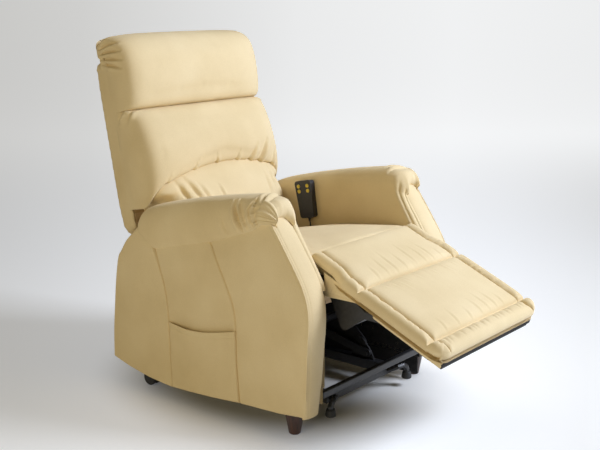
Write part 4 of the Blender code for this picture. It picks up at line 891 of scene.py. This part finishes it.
def lengthwise_gathers(across, along, depth):
    """Folds that run from the cross seam and the front seam, and puckers on the border rolls."""
    place = np.stack([across, along], 1)
    lines = [((a, CROSS_SEAM + 0.002), (b, CROSS_SEAM + run)) for a, b, run in SEAM_FOLDS]
    lines += [((a, CROSS_SEAM - 0.002), (b, CROSS_SEAM - run)) for a, b, run in REAR_FOLDS]
    lines += [((a, FRONT_ROLL - 0.002), (b, FRONT_ROLL - run)) for a, b, run in TOE_FOLDS]
    folds = sum(fold(place, line, 0.0060, 0.0016) for line in lines)
    fine = waves(across, (0.0270, 0.9, 0.4), (0.0391, 0.8, 2.1), (0.0171, 0.6, 4.0))
    fine *= 0.6 + 0.4 * waves(across, (0.113, 1, 0.8))
    near_seam = np.exp(-np.abs(along - CROSS_SEAM) / 0.040) + 0.5 * np.exp(-np.abs(FRONT_ROLL - along) / 0.030)
    panel = smoothstep(depth, 0.040, 0.070) * (1 - smoothstep(along, 0.340, 0.350)) * smoothstep(along, -0.075, -0.050)
    panel *= smoothstep(np.abs(along - CROSS_SEAM), 0.002, 0.010)
    border = np.exp(-((depth - 0.026) / 0.010) ** 2) * smoothstep(along, -0.06, 0.0)
    front = np.exp(-((along - 0.368) / 0.013) ** 2) * smoothstep(depth, 0.020, 0.040)
    side_tucks = 0.0036 * creases(along + 0.4 * depth, 0.033, 0.7 + 1.9 * (across > 0)) * border
    front_tucks = 0.0046 * creases(across + 0.3 * along, 0.027, 2.2) * front
    return (folds + 0.0005 * fine * near_seam) * panel - (side_tucks + front_tucks)


def legrest_cover(u, v):
    inward, side_height = resampled(smooth_line(SIDE_ROLL), 1 - np.abs(2 * u - 1)).T
    along, row_height = resampled(smooth_line(LENGTHWISE), v).T
    across = np.sign(u - 0.5) * (LEG_HALF - inward)
    height = soft_least(side_height, row_height)
    height += lengthwise_gathers(across, along, inward)
    corner = smoothstep(along, 0.335, 0.375) * smoothstep(np.abs(across), 0.205, 0.240)
    height += 0.0045 * corner * (row_height > 0.04)
    x_over, s_over = np.clip(np.abs(across) - TOE_ACROSS, 0, 1), np.clip(along - TOE_ALONG, 0, 1)
    round_toe = np.maximum(x_over, s_over) / np.maximum(np.hypot(x_over, s_over), 1e-9)
    tight = np.where((x_over > 0) & (s_over > 0), round_toe, 1)
    across = np.sign(across) * (np.abs(across) - x_over * (1 - tight))
    along = along - s_over * (1 - tight)
    across = across * (1 - (1 - REAR_HALF / LEG_HALF) * (1 - smoothstep(along, 0.0, 0.055)))
    flank = smoothstep(np.abs(across), 0.226, 0.240)
    over_arms = 0.0185 * (1 - smoothstep(along, 0.030, 0.100)) * (1 - flank)
    over_hinge = 0.0115 * (1 - smoothstep(along, 0.0, 0.03)) * flank
    under = COVER_UNDER + over_arms + over_hinge
    outer = np.stack([across, along, np.maximum(height, under + 0.0005)], 1)
    return outside(outer, LEG), outside(np.stack([across, along, under], 1), LEG)


cover = dressed(grid_shell("legrest_cover", 200, 230, legrest_cover), "cream_fabric", None, ("legrest_pad",))
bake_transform(cover)

# %% [markdown]
# ## The legrest's underside
# Below the cover a fabric-wrapped board stiffens the legrest, with a black lining stapled under it and round its
# front edge. The cover hides the frame's steel arms, so it is a little wider than the board. A gathered cheek hangs
# beside each hinge.

# %% Legrest board
BOARD_HALF = 0.2470


def board_cover():
    piece = solid_copy("legrest_board_cover", "legrest_board")
    local = inside(points_of(piece), LEG)
    local[:, 0] *= BOARD_HALF / np.abs(local[:, 0]).max()
    set_points(piece, outside(local, LEG))
    return eased(remeshed(piece, BOARD_VOXEL), 1)


def black_front(piece):
    """The lining comes up round the board's front edge."""
    piece.data.materials.append(LINING)
    ahead = LEG.to_3x3() @ Vector((0, 1, 0))
    for face in piece.data.polygons:
        face.material_index = int(face.normal.dot(ahead) > 0.5 or (LEG.inverted() @ face.center).z < -0.008)


board = dressed(board_cover(), "cream_fabric", "legrest", ("legrest_board",))
black_front(board)


# %% Gathered cheeks beside the hinge
CHEEK_REACH, CHEEK_TOP, CHEEK_OUT, CHEEK_IN = 0.118, 0.022, 0.2546, 0.2519
CHEEK_LOW = ((0.0, -0.040), (0.013, -0.037), (0.077, -0.010), (0.118, 0.008))


def hinge_cheek(side):
    """A cloth whose rear edge is upright while the legrest slopes."""
    def shape(u, v):
        reach = CHEEK_REACH * u
        low = read_off(CHEEK_LOW, reach)
        above = low + (CHEEK_TOP - low) * v
        along = reach + (1 - u) * (-0.009 - math.sin(DROP) * above) / math.cos(DROP)
        hem = smoothstep(v, 0.20, 0.30)
        out = CHEEK_OUT - 0.0012 * creases(along, 0.011, 0.6) * hem - 0.0010 * np.exp(-((v - 0.24) / 0.04) ** 2)
        return [outside(np.stack([side * x, along, above], 1), LEG) for x in (out, np.full_like(out, CHEEK_IN))]

    return shape


for word, side in SIDES:
    cheek = dressed(grid_shell("hinge_cheek_" + word, 70, 24, hinge_cheek(side)), "cream_fabric", "legrest")

# %% [markdown]
# ## Arm boxes
# Each arm is a box of panels. Its outer cloth is sewn from three widths with two shaped seams, its lower edge hangs
# in a bow, and its inside, where nobody looks, is black lining. The box itself comes from the plain solid, cut off
# where the outer cloth begins.

# %% Arm outlines, seen from the side
FRONT_EDGE = ((-0.431, 0.076), (-0.438, 0.258), (-0.442, 0.379), (-0.422, 0.453), (-0.366, 0.541), (-0.303, 0.629))
REAR_EDGE = ((0.379, 0.079), (0.376, 0.171), (0.364, 0.275), (0.353, 0.355), (0.339, 0.421), (0.323, 0.446),
             (0.299, 0.480), (0.270, 0.507), (0.240, 0.534))
BOX_TOP = ((0.073, 0.498), (0.197, 0.467), (0.285, 0.452), (0.340, 0.430))
REAR_SEAM = ((0.104, 0.040), (0.107, 0.130), (0.108, 0.211), (0.113, 0.290), (0.131, 0.379), (0.172, 0.480))
FRONT_SEAM = ((-0.180, 0.062), (-0.171, 0.180), (-0.169, 0.286), (-0.157, 0.359), (-0.119, 0.442), (-0.062, 0.543))
LOWER_BOW = ((-0.431, 0.080), (-0.405, 0.080), (-0.336, 0.072), (-0.221, 0.065), (-0.058, 0.051), (0.107, 0.040),
             (0.208, 0.049), (0.300, 0.064), (0.370, 0.080), (0.390, 0.080))
POCKET_LIP = ((-0.172, 0.283), (-0.120, 0.270), (-0.066, 0.259), (-0.030, 0.253), (0.019, 0.250), (0.060, 0.251),
              (0.110, 0.256))
BOX_FACE, CLOTH_FACE, BOX_INNER = 0.351, 0.3605, 0.264
CHEEK_ROOM, LINING_TOP, LINING_OUT = 0.2560, 0.436, 0.325


def cheek_room(x, y, z, full, gone):
    """Moves an arm's inner face out of the way of the cheek that swings past it."""
    room = 1 - smoothstep(np.hypot(y - LEG_HINGE[0], z - LEG_HINGE[1]), full, gone)
    return np.sign(x) * (np.abs(x) + room * np.clip(CHEEK_ROOM - np.abs(x), 0, 1))


# %% Box of an arm
def arm_box(word, side):
    bm = bmesh.new()
    bm.from_mesh(NODES["side_panel_" + word].data)
    bmesh.ops.remove_doubles(bm, verts=bm.verts, dist=1e-5)
    cut = bmesh.ops.bisect_plane(bm, geom=bm.verts[:] + bm.edges[:] + bm.faces[:], plane_co=(side * BOX_FACE, 0, 0),
                                 plane_no=(side, 0, 0), clear_outer=True)
    edges = [e for e in cut["geom_cut"] if isinstance(e, bmesh.types.BMEdge)]
    bmesh.ops.triangle_fill(bm, edges=edges, use_beauty=True)
    bmesh.ops.recalc_face_normals(bm, faces=bm.faces)
    piece = eased(remeshed(new_object("arm_box_" + word, bm), SKIN_VOXEL), 1)
    points = inside(points_of(piece), SIDE)
    points[:, 0] = cheek_room(*points.T, 0.135, 0.165)
    set_points(piece, outside(points, SIDE))
    return piece


def line_inside(piece, side):
    """Gives the faces that look into the chair, below the seat, to the black lining."""
    piece.data.materials.append(LINING)
    for face in piece.data.polygons:
        low = face.center.z < LINING_TOP and abs(face.center.x) < LINING_OUT
        face.material_index = int(low and face.normal.x * side < 0.5 and face.normal.y < 0.5)


for word, side in SIDES:
    box = dressed(arm_box(word, side), "cream_fabric", "chassis", ("side_panel_" + word,))
    line_inside(box, side)


# %% Outer cloth of an arm
def between_seams(u, v, lines):
    """Places on a cloth of several widths: which width, the share across it, and the point (y, z)."""
    width = np.minimum((u * (len(lines) - 1)).astype(int), len(lines) - 2)
    share = u * (len(lines) - 1) - width
    share = share - 0.75 * np.sin(2 * np.pi * share) / (2 * np.pi)
    stations = np.stack([resampled(smooth_line(line), v) for line in lines])
    rows = np.arange(len(u))
    start, end = stations[width, rows], stations[width + 1, rows]
    point = start + (end - start) * share[:, None]
    low_line = np.stack([resampled(smooth_line(line), np.zeros_like(v)) for line in lines])
    straight = low_line[width, rows, 1] + (low_line[width + 1, rows, 1] - low_line[width, rows, 1]) * share
    bow = read_off(LOWER_BOW, point[:, 0])
    point[:, 1] += (bow - straight) * (1 - v) ** 3
    return width, share, point, np.linalg.norm(end - start, axis=1)


def sewn(name, columns, rows, shape, fill, *nodes):
    """A padded cream cover of the chassis, made from a grid."""
    piece = dressed(grid_shell(name, columns, rows, shape), "cream_fabric", "chassis", nodes)


def side_cloth(side):
    front = [(y + 0.003, z) for y, z in FRONT_EDGE]

    def shape(u, v):
        v = v ** 1.3
        width, share, point, span = between_seams(u, v, (REAR_EDGE, REAR_SEAM, FRONT_SEAM, front))
        seam_gap = np.where(width == 0, (1 - share), np.where(width == 2, share, np.minimum(share, 1 - share))) * span
        rim_gap = np.where(width == 0, share, np.where(width == 2, 1 - share, 1.0)) * span
        low_gap = v * 0.45
        puff = 0.0032 * np.clip(4 * share * (1 - share), 0, 1) ** 0.7
        drift = 0.0008 * waves(point[:, 0] + 0.3 * point[:, 1], (0.155, 1, 0.3), (0.091, 0.6, 2.0)) * np.sin(np.pi * v)
        out = CLOTH_FACE + puff + drift - 0.0062 * np.exp(-(seam_gap / 0.0028) ** 2)
        out -= 0.005 * smoothstep(v, 0.84, 0.98) * (width > 0)
        out -= rolled(rim_gap, 0.009) + rolled(low_gap, 0.006) + rolled((1 - v) * 0.45, 0.006) * (width == 0)
        if side < 0:
            over_lip = point[:, 1] - read_off(POCKET_LIP, point[:, 0])
            behind = (width == 1) * smoothstep(seam_gap, 0.0, 0.03) * (1 - smoothstep(over_lip, 0.004, 0.045))
            out -= 0.006 * behind
        outer = np.stack([side * out, point[:, 0], point[:, 1]], 1)
        above_box = smoothstep(point[:, 1] - read_off(BOX_TOP, point[:, 0]), 0.0, 0.006) * (width == 0)
        depth = BOX_FACE + 0.0002 - (BOX_FACE - BOX_INNER) * above_box
        inner = np.stack([side * depth, point[:, 0], point[:, 1]], 1)
        return outside(outer, SIDE), outside(inner, SIDE)

    return shape


for word, side in SIDES:
    sewn("side_cloth_" + word, 186, 110, side_cloth(side), 0.9)

# %% [markdown]
# ## The side pocket
# The pocket is a second layer of cloth between the two seams of the right arm. Its lip stands away from the arm a
# little, as a used pocket does, and has a hem with a line of stitching below it.


# %% Pocket
POUCH_FACE, POUCH_WALL, HEM_DEPTH = 0.3628, 0.0028, 0.0185


def pocket_pouch(u, v):
    lines = []
    for seam, inset in ((REAR_SEAM, -0.0015), (FRONT_SEAM, 0.0015)):
        line = smooth_line(seam)
        lip = read_off(POCKET_LIP, line[:, 0])
        kept = line[line[:, 1] < lip]
        lines.append(np.concatenate([kept + (inset, 0), [(kept[-1][0] + inset, lip[len(kept)])]]))
    rear, front = (resampled(line, v) for line in lines)
    point = rear + (front - rear) * u[:, None]
    bow = read_off(LOWER_BOW, point[:, 0]) + 0.002
    lip = read_off(POCKET_LIP, point[:, 0])
    point[:, 1] = bow + (lip - bow) * v
    middle = np.clip(4 * u * (1 - u), 0, 1)
    below = lip - point[:, 1]
    out = POUCH_FACE + 0.0040 * middle ** 0.6 + 0.0055 * middle * np.exp(-below / 0.030)
    out += 0.0010 * smoothstep(-below, -HEM_DEPTH, 0.002 - HEM_DEPTH)
    out -= 0.0012 * np.exp(-((below - HEM_DEPTH) / 0.0015) ** 2)
    out -= rolled(np.minimum(u, 1 - u) * 0.27, 0.005) + rolled(v * 0.19, 0.005)
    out += 0.0007 * waves(point[:, 0], (0.083, 1, 0.6), (0.047, 0.5, 2.2)) * v
    outer = np.stack([-out, point[:, 0], point[:, 1]], 1)
    inner = np.stack([-out + POUCH_WALL, point[:, 0], point[:, 1]], 1)
    return outside(outer, SIDE), outside(inner, SIDE)


sewn("pocket_pouch_right", 110, 90, pocket_pouch, 0.3, "pocket_panel_right")

# %% [markdown]
# ## The front facings
# A narrow padded facing closes the front of each arm, wide in the middle and narrower at the floor. It is a sheet
# swept along the arm's front edge, with a welt where it meets the side cloth.


# %% Front facings
FACING_OUT, WELT_OUT, WELT_RADIUS = 0.3595, 0.3588, 0.0026
FACING_IN = ((0.076, 0.300), (0.20, 0.286), (0.32, 0.2795), (0.62, 0.2795))


def front_facing(side):
    edge = smooth_line(FRONT_EDGE)

    def shape(u, v):
        point = resampled(edge, v)
        step = resampled(edge, np.clip(v + 0.004, 0, 1)) - resampled(edge, np.clip(v - 0.004, 0, 1))
        step /= np.linalg.norm(step, axis=1, keepdims=True)
        forward = np.stack([-step[:, 1], step[:, 0]], 1)
        breadth = FACING_OUT - read_off(FACING_IN, point[:, 1])
        x = FACING_OUT - breadth * u
        gap = np.minimum(u, 1 - u) * breadth
        out = 0.0045 - 0.32 * rolled(gap, 0.036)
        out -= 0.0011 * np.exp(-((u * breadth - 0.0105) / 0.0014) ** 2)
        out -= rolled(v * 0.60, 0.006)
        outer = point + forward * out[:, None]
        inner = point - forward * 0.0135
        return [outside(np.stack([side * x, p[:, 0], p[:, 1]], 1), SIDE) for p in (outer, inner)]

    return shape


def facing_welt(word, side):
    edge = smooth_line(FRONT_EDGE)[3:]
    points = [chair(side * WELT_OUT, y + 0.0035, z) for y, z in edge]
    welt = round_cord("facing_welt_" + word, points, WELT_RADIUS)
    welt.data.materials.append(CREAM)
    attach(welt, "chassis")


for word, side in SIDES:
    sewn("front_facing_" + word, 56, 150, front_facing(side), 0.8, "front_band_" + word)
    facing_welt(word, side)

# %% [markdown]
# ## The arm pads
# A padded cover runs over the top of each arm and down its inner face without a seam, and wraps round the front edge
# to meet the facing. It is one grid, so that its pleats can run across both: one way follows the arm, the other goes
# round a section that starts at the outer seam.

# %% Section of an arm pad: across, then shares of the seam's height, of the top's height, and a rise
ARM_STATIONS = ((-0.303, 0.629, 0.672), (-0.261, 0.601, 0.681), (-0.202, 0.575, 0.676), (-0.066, 0.532, 0.654),
                (0.073, 0.498, 0.626), (0.197, 0.467, 0.594), (0.285, 0.452, 0.553))
PAD_SECTION = ((0.3510, 1.0, 0.0, -0.003), (0.3600, 1.0, 0.0, 0.001), (0.3655, 0.82, 0.18, 0.0),
               (0.3675, 0.55, 0.45, 0.0), (0.3615, 0.27, 0.73, 0.0), (0.3470, 0.06, 0.94, 0.0),
               (0.3270, 0.0, 1.0, 0.003), (0.3040, 0.0, 1.0, 0.006), (0.2820, 0.0, 1.0, 0.003),
               (0.2640, 0.0, 1.0, -0.010), (0.2550, 0.0, 1.0, -0.032), (0.2520, 0.0, 1.0, -0.065),
               (0.2515, 0.0, 0.5, 0.1835), (0.2520, 0.0, 0.0, 0.432))
PAD_HEEL = ((0.0, 0.178), (0.031, 0.212), (0.065, 0.244), (0.100, 0.252), (0.129, 0.250), (0.150, 0.250),
            (0.173, 0.250), (0.195, 0.256), (0.230, 0.280))
NOSE_PLEATS = (((-0.162, 0.126), (-0.186, 0.062), (-0.205, 0.019), 0.009, 0.0050),
               ((-0.182, 0.131), (-0.208, 0.086), (-0.222, 0.016), 0.008, 0.0030),
               ((-0.244, 0.131), (-0.234, 0.092), (-0.252, 0.026), (-0.256, 0.012), 0.009, 0.0060),
               ((-0.293, 0.150), (-0.278, 0.079), (-0.278, 0.025), 0.008, 0.0045),
               ((-0.308, 0.093), (-0.284, 0.049), (-0.272, 0.020), 0.007, 0.0036),
               ((-0.120, 0.085), (-0.136, 0.040), (-0.150, 0.010), 0.010, 0.0018),
               ((-0.262, 0.215), (-0.275, 0.160), (-0.286, 0.118), 0.010, 0.0030),
               ((-0.240, 0.190), (-0.256, 0.150), (-0.268, 0.120), 0.010, 0.0022))


# %% Ends of an arm pad
FACING_TOP = ((0.2835, 0.604), (0.292, 0.617), (0.305, 0.627), (0.322, 0.631), (0.340, 0.627), (0.3495, 0.618))
NOSE_TOP = ((0.264, -0.314), (0.285, -0.317), (0.310, -0.318), (0.340, -0.310), (0.352, -0.300), (0.366, -0.294))
NOSE_INNER = ((0.432, -0.424), (0.453, -0.416), (0.541, -0.360), (0.615, -0.316), (0.655, -0.314))
HEEL_INNER = ((0.432, 0.235), (0.47, 0.262), (0.51, 0.300))
PAD_FRONT, PAD_REAR, PAD_WALL = -0.303, 0.28, 0.006
NOSE_ROWS, HEEL_ROWS = 0.16, 0.91
NOSE_RUN, HEEL_RADIUS, HEEL_DEEP = 0.024, 0.030, 0.060


def end_cap(share, radius, deep):
    """The rounded end of a pad: distance from its end, and how far its section has drawn in."""
    angle = np.minimum(share / 0.6, 1) * np.pi / 2
    return radius * (1 - np.sin(angle)), radius * (1 - np.cos(angle)) + deep * np.clip((share - 0.6) / 0.4, 0, 1)


def drawn_in(x, z, core, inset):
    """Moves a section's points towards its core line, never past it."""
    way = np.stack([core[0] - x, core[1] - z], 1)
    length = np.maximum(np.linalg.norm(way, axis=1), 1e-6)
    share = np.minimum(inset / length, 0.97)
    return x + way[:, 0] * share, z + way[:, 1] * share


def bent(start, ahead, before, end, share):
    """Points on a cubic curve between two points, with two points that pull it."""
    t = share[:, None]
    return start * (1 - t) ** 3 + 3 * ahead * t * (1 - t) ** 2 + 3 * before * t * t * (1 - t) + end * t ** 3


def tucked_nose(x, y, z, share):
    """Takes the front of a pad forward, round, and back behind the top and inner edges of the facing."""
    across = np.clip(x, FACING_TOP[0][0], FACING_TOP[-1][0])
    level = np.minimum(z, read_off(FACING_TOP, across))
    over = smoothstep(z, 0.570, 0.660)
    end = np.stack([across, np.interp(level, *np.array(FRONT_EDGE[2:]).T[::-1]) + 0.003 - 0.008 * over, level], 1)
    start = np.stack([x, y, z], 1)
    before = end + np.stack([-0.010 * (1 - over), -0.013 - 0.004 * over, 0.012 * over], 1)
    pull = np.stack([0 * x, -0.016 - 0.014 * smoothstep(x, 0.262, 0.300), 0 * x], 1)
    return bent(start, start + pull, before, end, share)


# %% Arm pads
def arm_cover(side):
    stations = smooth_line(ARM_STATIONS)
    section = smooth_line(PAD_SECTION)
    nominal = np.stack([section[:, 0], section[:, 1] * 0.53 + section[:, 2] * 0.655 + section[:, 3]], 1)
    passed = np.concatenate([[0], np.cumsum(np.linalg.norm(np.diff(nominal, axis=0), axis=1))])

    def around(arc, y):
        x, by_seam, by_top, rise = (np.interp(arc, passed, column) for column in section.T)
        seam, top = (np.interp(y, stations[:, 0], stations[:, i]) for i in (1, 2))
        return x, by_seam * seam + by_top * top + rise

    def puckered(arc, y, z, to_nose, turned):
        lift = sum(fold(np.stack([y, arc], 1), line, width, 1.7 * height, 1.0) for *line, width, height in NOSE_PLEATS)
        lift *= smoothstep(arc, 0.004, 0.028)
        fan = smoothstep(0.075 - to_nose, 0.0, 0.075) * (1 - smoothstep(arc, 0.10, 0.16))
        lift -= 0.0036 * creases(arc + 0.5 * to_nose, 0.018, 1.1) * fan ** 1.5
        strip = smoothstep(z, 0.450, 0.540) * (1 - smoothstep(z, 0.635, 0.675)) * smoothstep(arc, 0.18, 0.22)
        lift -= 0.0030 * (np.exp(-((turned - 0.30) / 0.07) ** 2) + np.exp(-((turned - 0.62) / 0.07) ** 2)) * strip
        hem = np.exp(-arc / 0.030) * smoothstep(-y, 0.15, 0.25) * smoothstep(arc, 0.012, 0.030)
        return lift + 0.0008 * waves(y, (0.023, 1, 0.2), (0.037, 0.9, 1.4)) * hem

    def shape(u, v):
        arc = u * passed[-1]
        x, z = around(arc, np.full_like(u, PAD_FRONT))
        nose = np.where(x > NOSE_TOP[0][0], read_off(NOSE_TOP, x), read_off(NOSE_INNER, z))
        rear_z = around(arc, np.full_like(u, PAD_REAR))[1]
        heel = np.where(x > 0.30, HEEL_INNER[-1][1], read_off(HEEL_INNER, rear_z))
        heel = np.minimum(heel, read_off(PAD_HEEL, arc))
        rear_gap, rear_in = end_cap(np.clip((v - HEEL_ROWS) / (1 - HEEL_ROWS), 0, 1), HEEL_RADIUS, HEEL_DEEP)
        share = np.clip((v - NOSE_ROWS) / (HEEL_ROWS - NOSE_ROWS), 0, 1)
        main = nose + NOSE_RUN + (heel - nose - NOSE_RUN - HEEL_RADIUS) * share
        y = np.where(v > HEEL_ROWS, heel - rear_gap, main)
        x, z = around(arc, y)
        after, before = around(arc + 0.002, y), around(arc - 0.002, y)
        step = np.stack([after[0] - before[0], after[1] - before[1]], 1)
        step /= np.maximum(np.linalg.norm(step, axis=1, keepdims=True), 1e-9)
        turned = np.clip(1 - v / NOSE_ROWS, 0, 1)
        level, ahead = np.cos(turned * 1.5), np.sin(turned * 1.5)
        normal = np.stack([step[:, 1] * level, -ahead, -step[:, 0] * level], 1)
        lift = puckered(arc, y, z, y - nose - NOSE_RUN, turned) * (1 - smoothstep(turned, 0.80, 1.0))
        seam, top = (np.interp(y, stations[:, 0], stations[:, i]) for i in (1, 2))
        low = np.interp(arc, (0.0, 0.19, 0.25), (0.0, 0.0, 1.0))
        core = (0.306 - 0.021 * low, np.where(low > 0, np.minimum(z, top - 0.026), 0.5 * (seam + top)))
        px, pz = drawn_in(x, z, core, rear_in)
        skin = tucked_nose(px, y, pz, turned)
        skin[:, 0] = cheek_room(*skin.T, 0.060, 0.090)
        return [outside((skin + normal * (lift + extra)[:, None]) * (side, 1, 1), SIDE) for extra in (0.0, -PAD_WALL)]

    return shape


for word, side in SIDES:
    sewn("arm_cover_" + word, 150, 240, arm_cover(side), 0.7, "arm_pad_" + word)

# %% [markdown]
# ## Below the seat
# A short gathered apron hides the seat's front rail, and a black curtain closes the space between the arms at the rear.
# Black sheets that hang from the arms' lower edges are painted shade: they stand in for the shadow on the floor under
# the arms. All are sheets on the seat's chassis, clear of everything that swings.


# %% Apron, curtain, and black sheets under the arms that paint the shadow there
APRON_WIDTH, APRON_DROP = 0.460, 0.050
CURTAIN_WIDTH, CURTAIN_DROP = 0.501, 0.190
SKIRT_DROP, SKIRT_END, SKIRT_STARTS = 0.072, 0.340, {"right": -0.290, "left": -0.395}


def front_apron(u, v):
    x = (u - 0.5) * APRON_WIDTH
    free = np.clip((0.75 - v) / 0.5, 0, 1) ** 0.5 * smoothstep(v, 0, 0.1)
    ripple = 0.0045 * waves(x, (0.026, 1, 0.3), (0.041, 0.7, 1.9), (0.017, 0.4, 4.0)) * free
    y = -0.432 + ripple * smoothstep(v, 0.22, 0.40) + 0.004 * smoothstep(v, 0.18, 0.24)
    z = 0.398 + APRON_DROP * v
    return [outside(np.stack([x, y + extra, z], 1), SIDE) for extra in (0.0, 0.002)]


def rear_curtain(u, v):
    x = (u - 0.5) * CURTAIN_WIDTH
    y = 0.350 + 0.003 * waves(x, (0.110, 1, 0.5), (0.063, 0.5, 2.0)) * (1 - v)
    z = 0.115 + CURTAIN_DROP * v
    return [outside(np.stack([x, y + extra, z], 1), SIDE) for extra in (0.0, 0.002)]


def arm_shade_skirt(word, side):
    """Black sheet that hangs from the inner lower edge of an arm to just above the floor: painted shade for the shadow
    under the arm.
    """
    first = SKIRT_STARTS[word]

    def shape(u, v):
        y = first + (SKIRT_END - first) * u
        x = 0.2560 + 0.0012 * waves(y, (0.140, 1, 0.2), (0.087, 0.6, 2.5)) * (1 - v)
        z = 0.022 + SKIRT_DROP * v
        return [outside(np.stack([side * (x + extra), y, z], 1), SIDE) for extra in (0.0, 0.0012)]

    return shape


apron = dressed(grid_shell("seat_apron", 150, 26, front_apron), "cream_fabric", "chassis")
curtain = dressed(grid_shell("rear_curtain", 60, 20, rear_curtain), "black_lining", "chassis")
# Painted shade: a black sheet near the floor under each arm stands in for the shadow that falls there
for word, side in SIDES:
    lining = dressed(grid_shell("arm_shade_skirt_" + word, 60, 8, arm_shade_skirt(word, side)), "black_lining", "chassis")
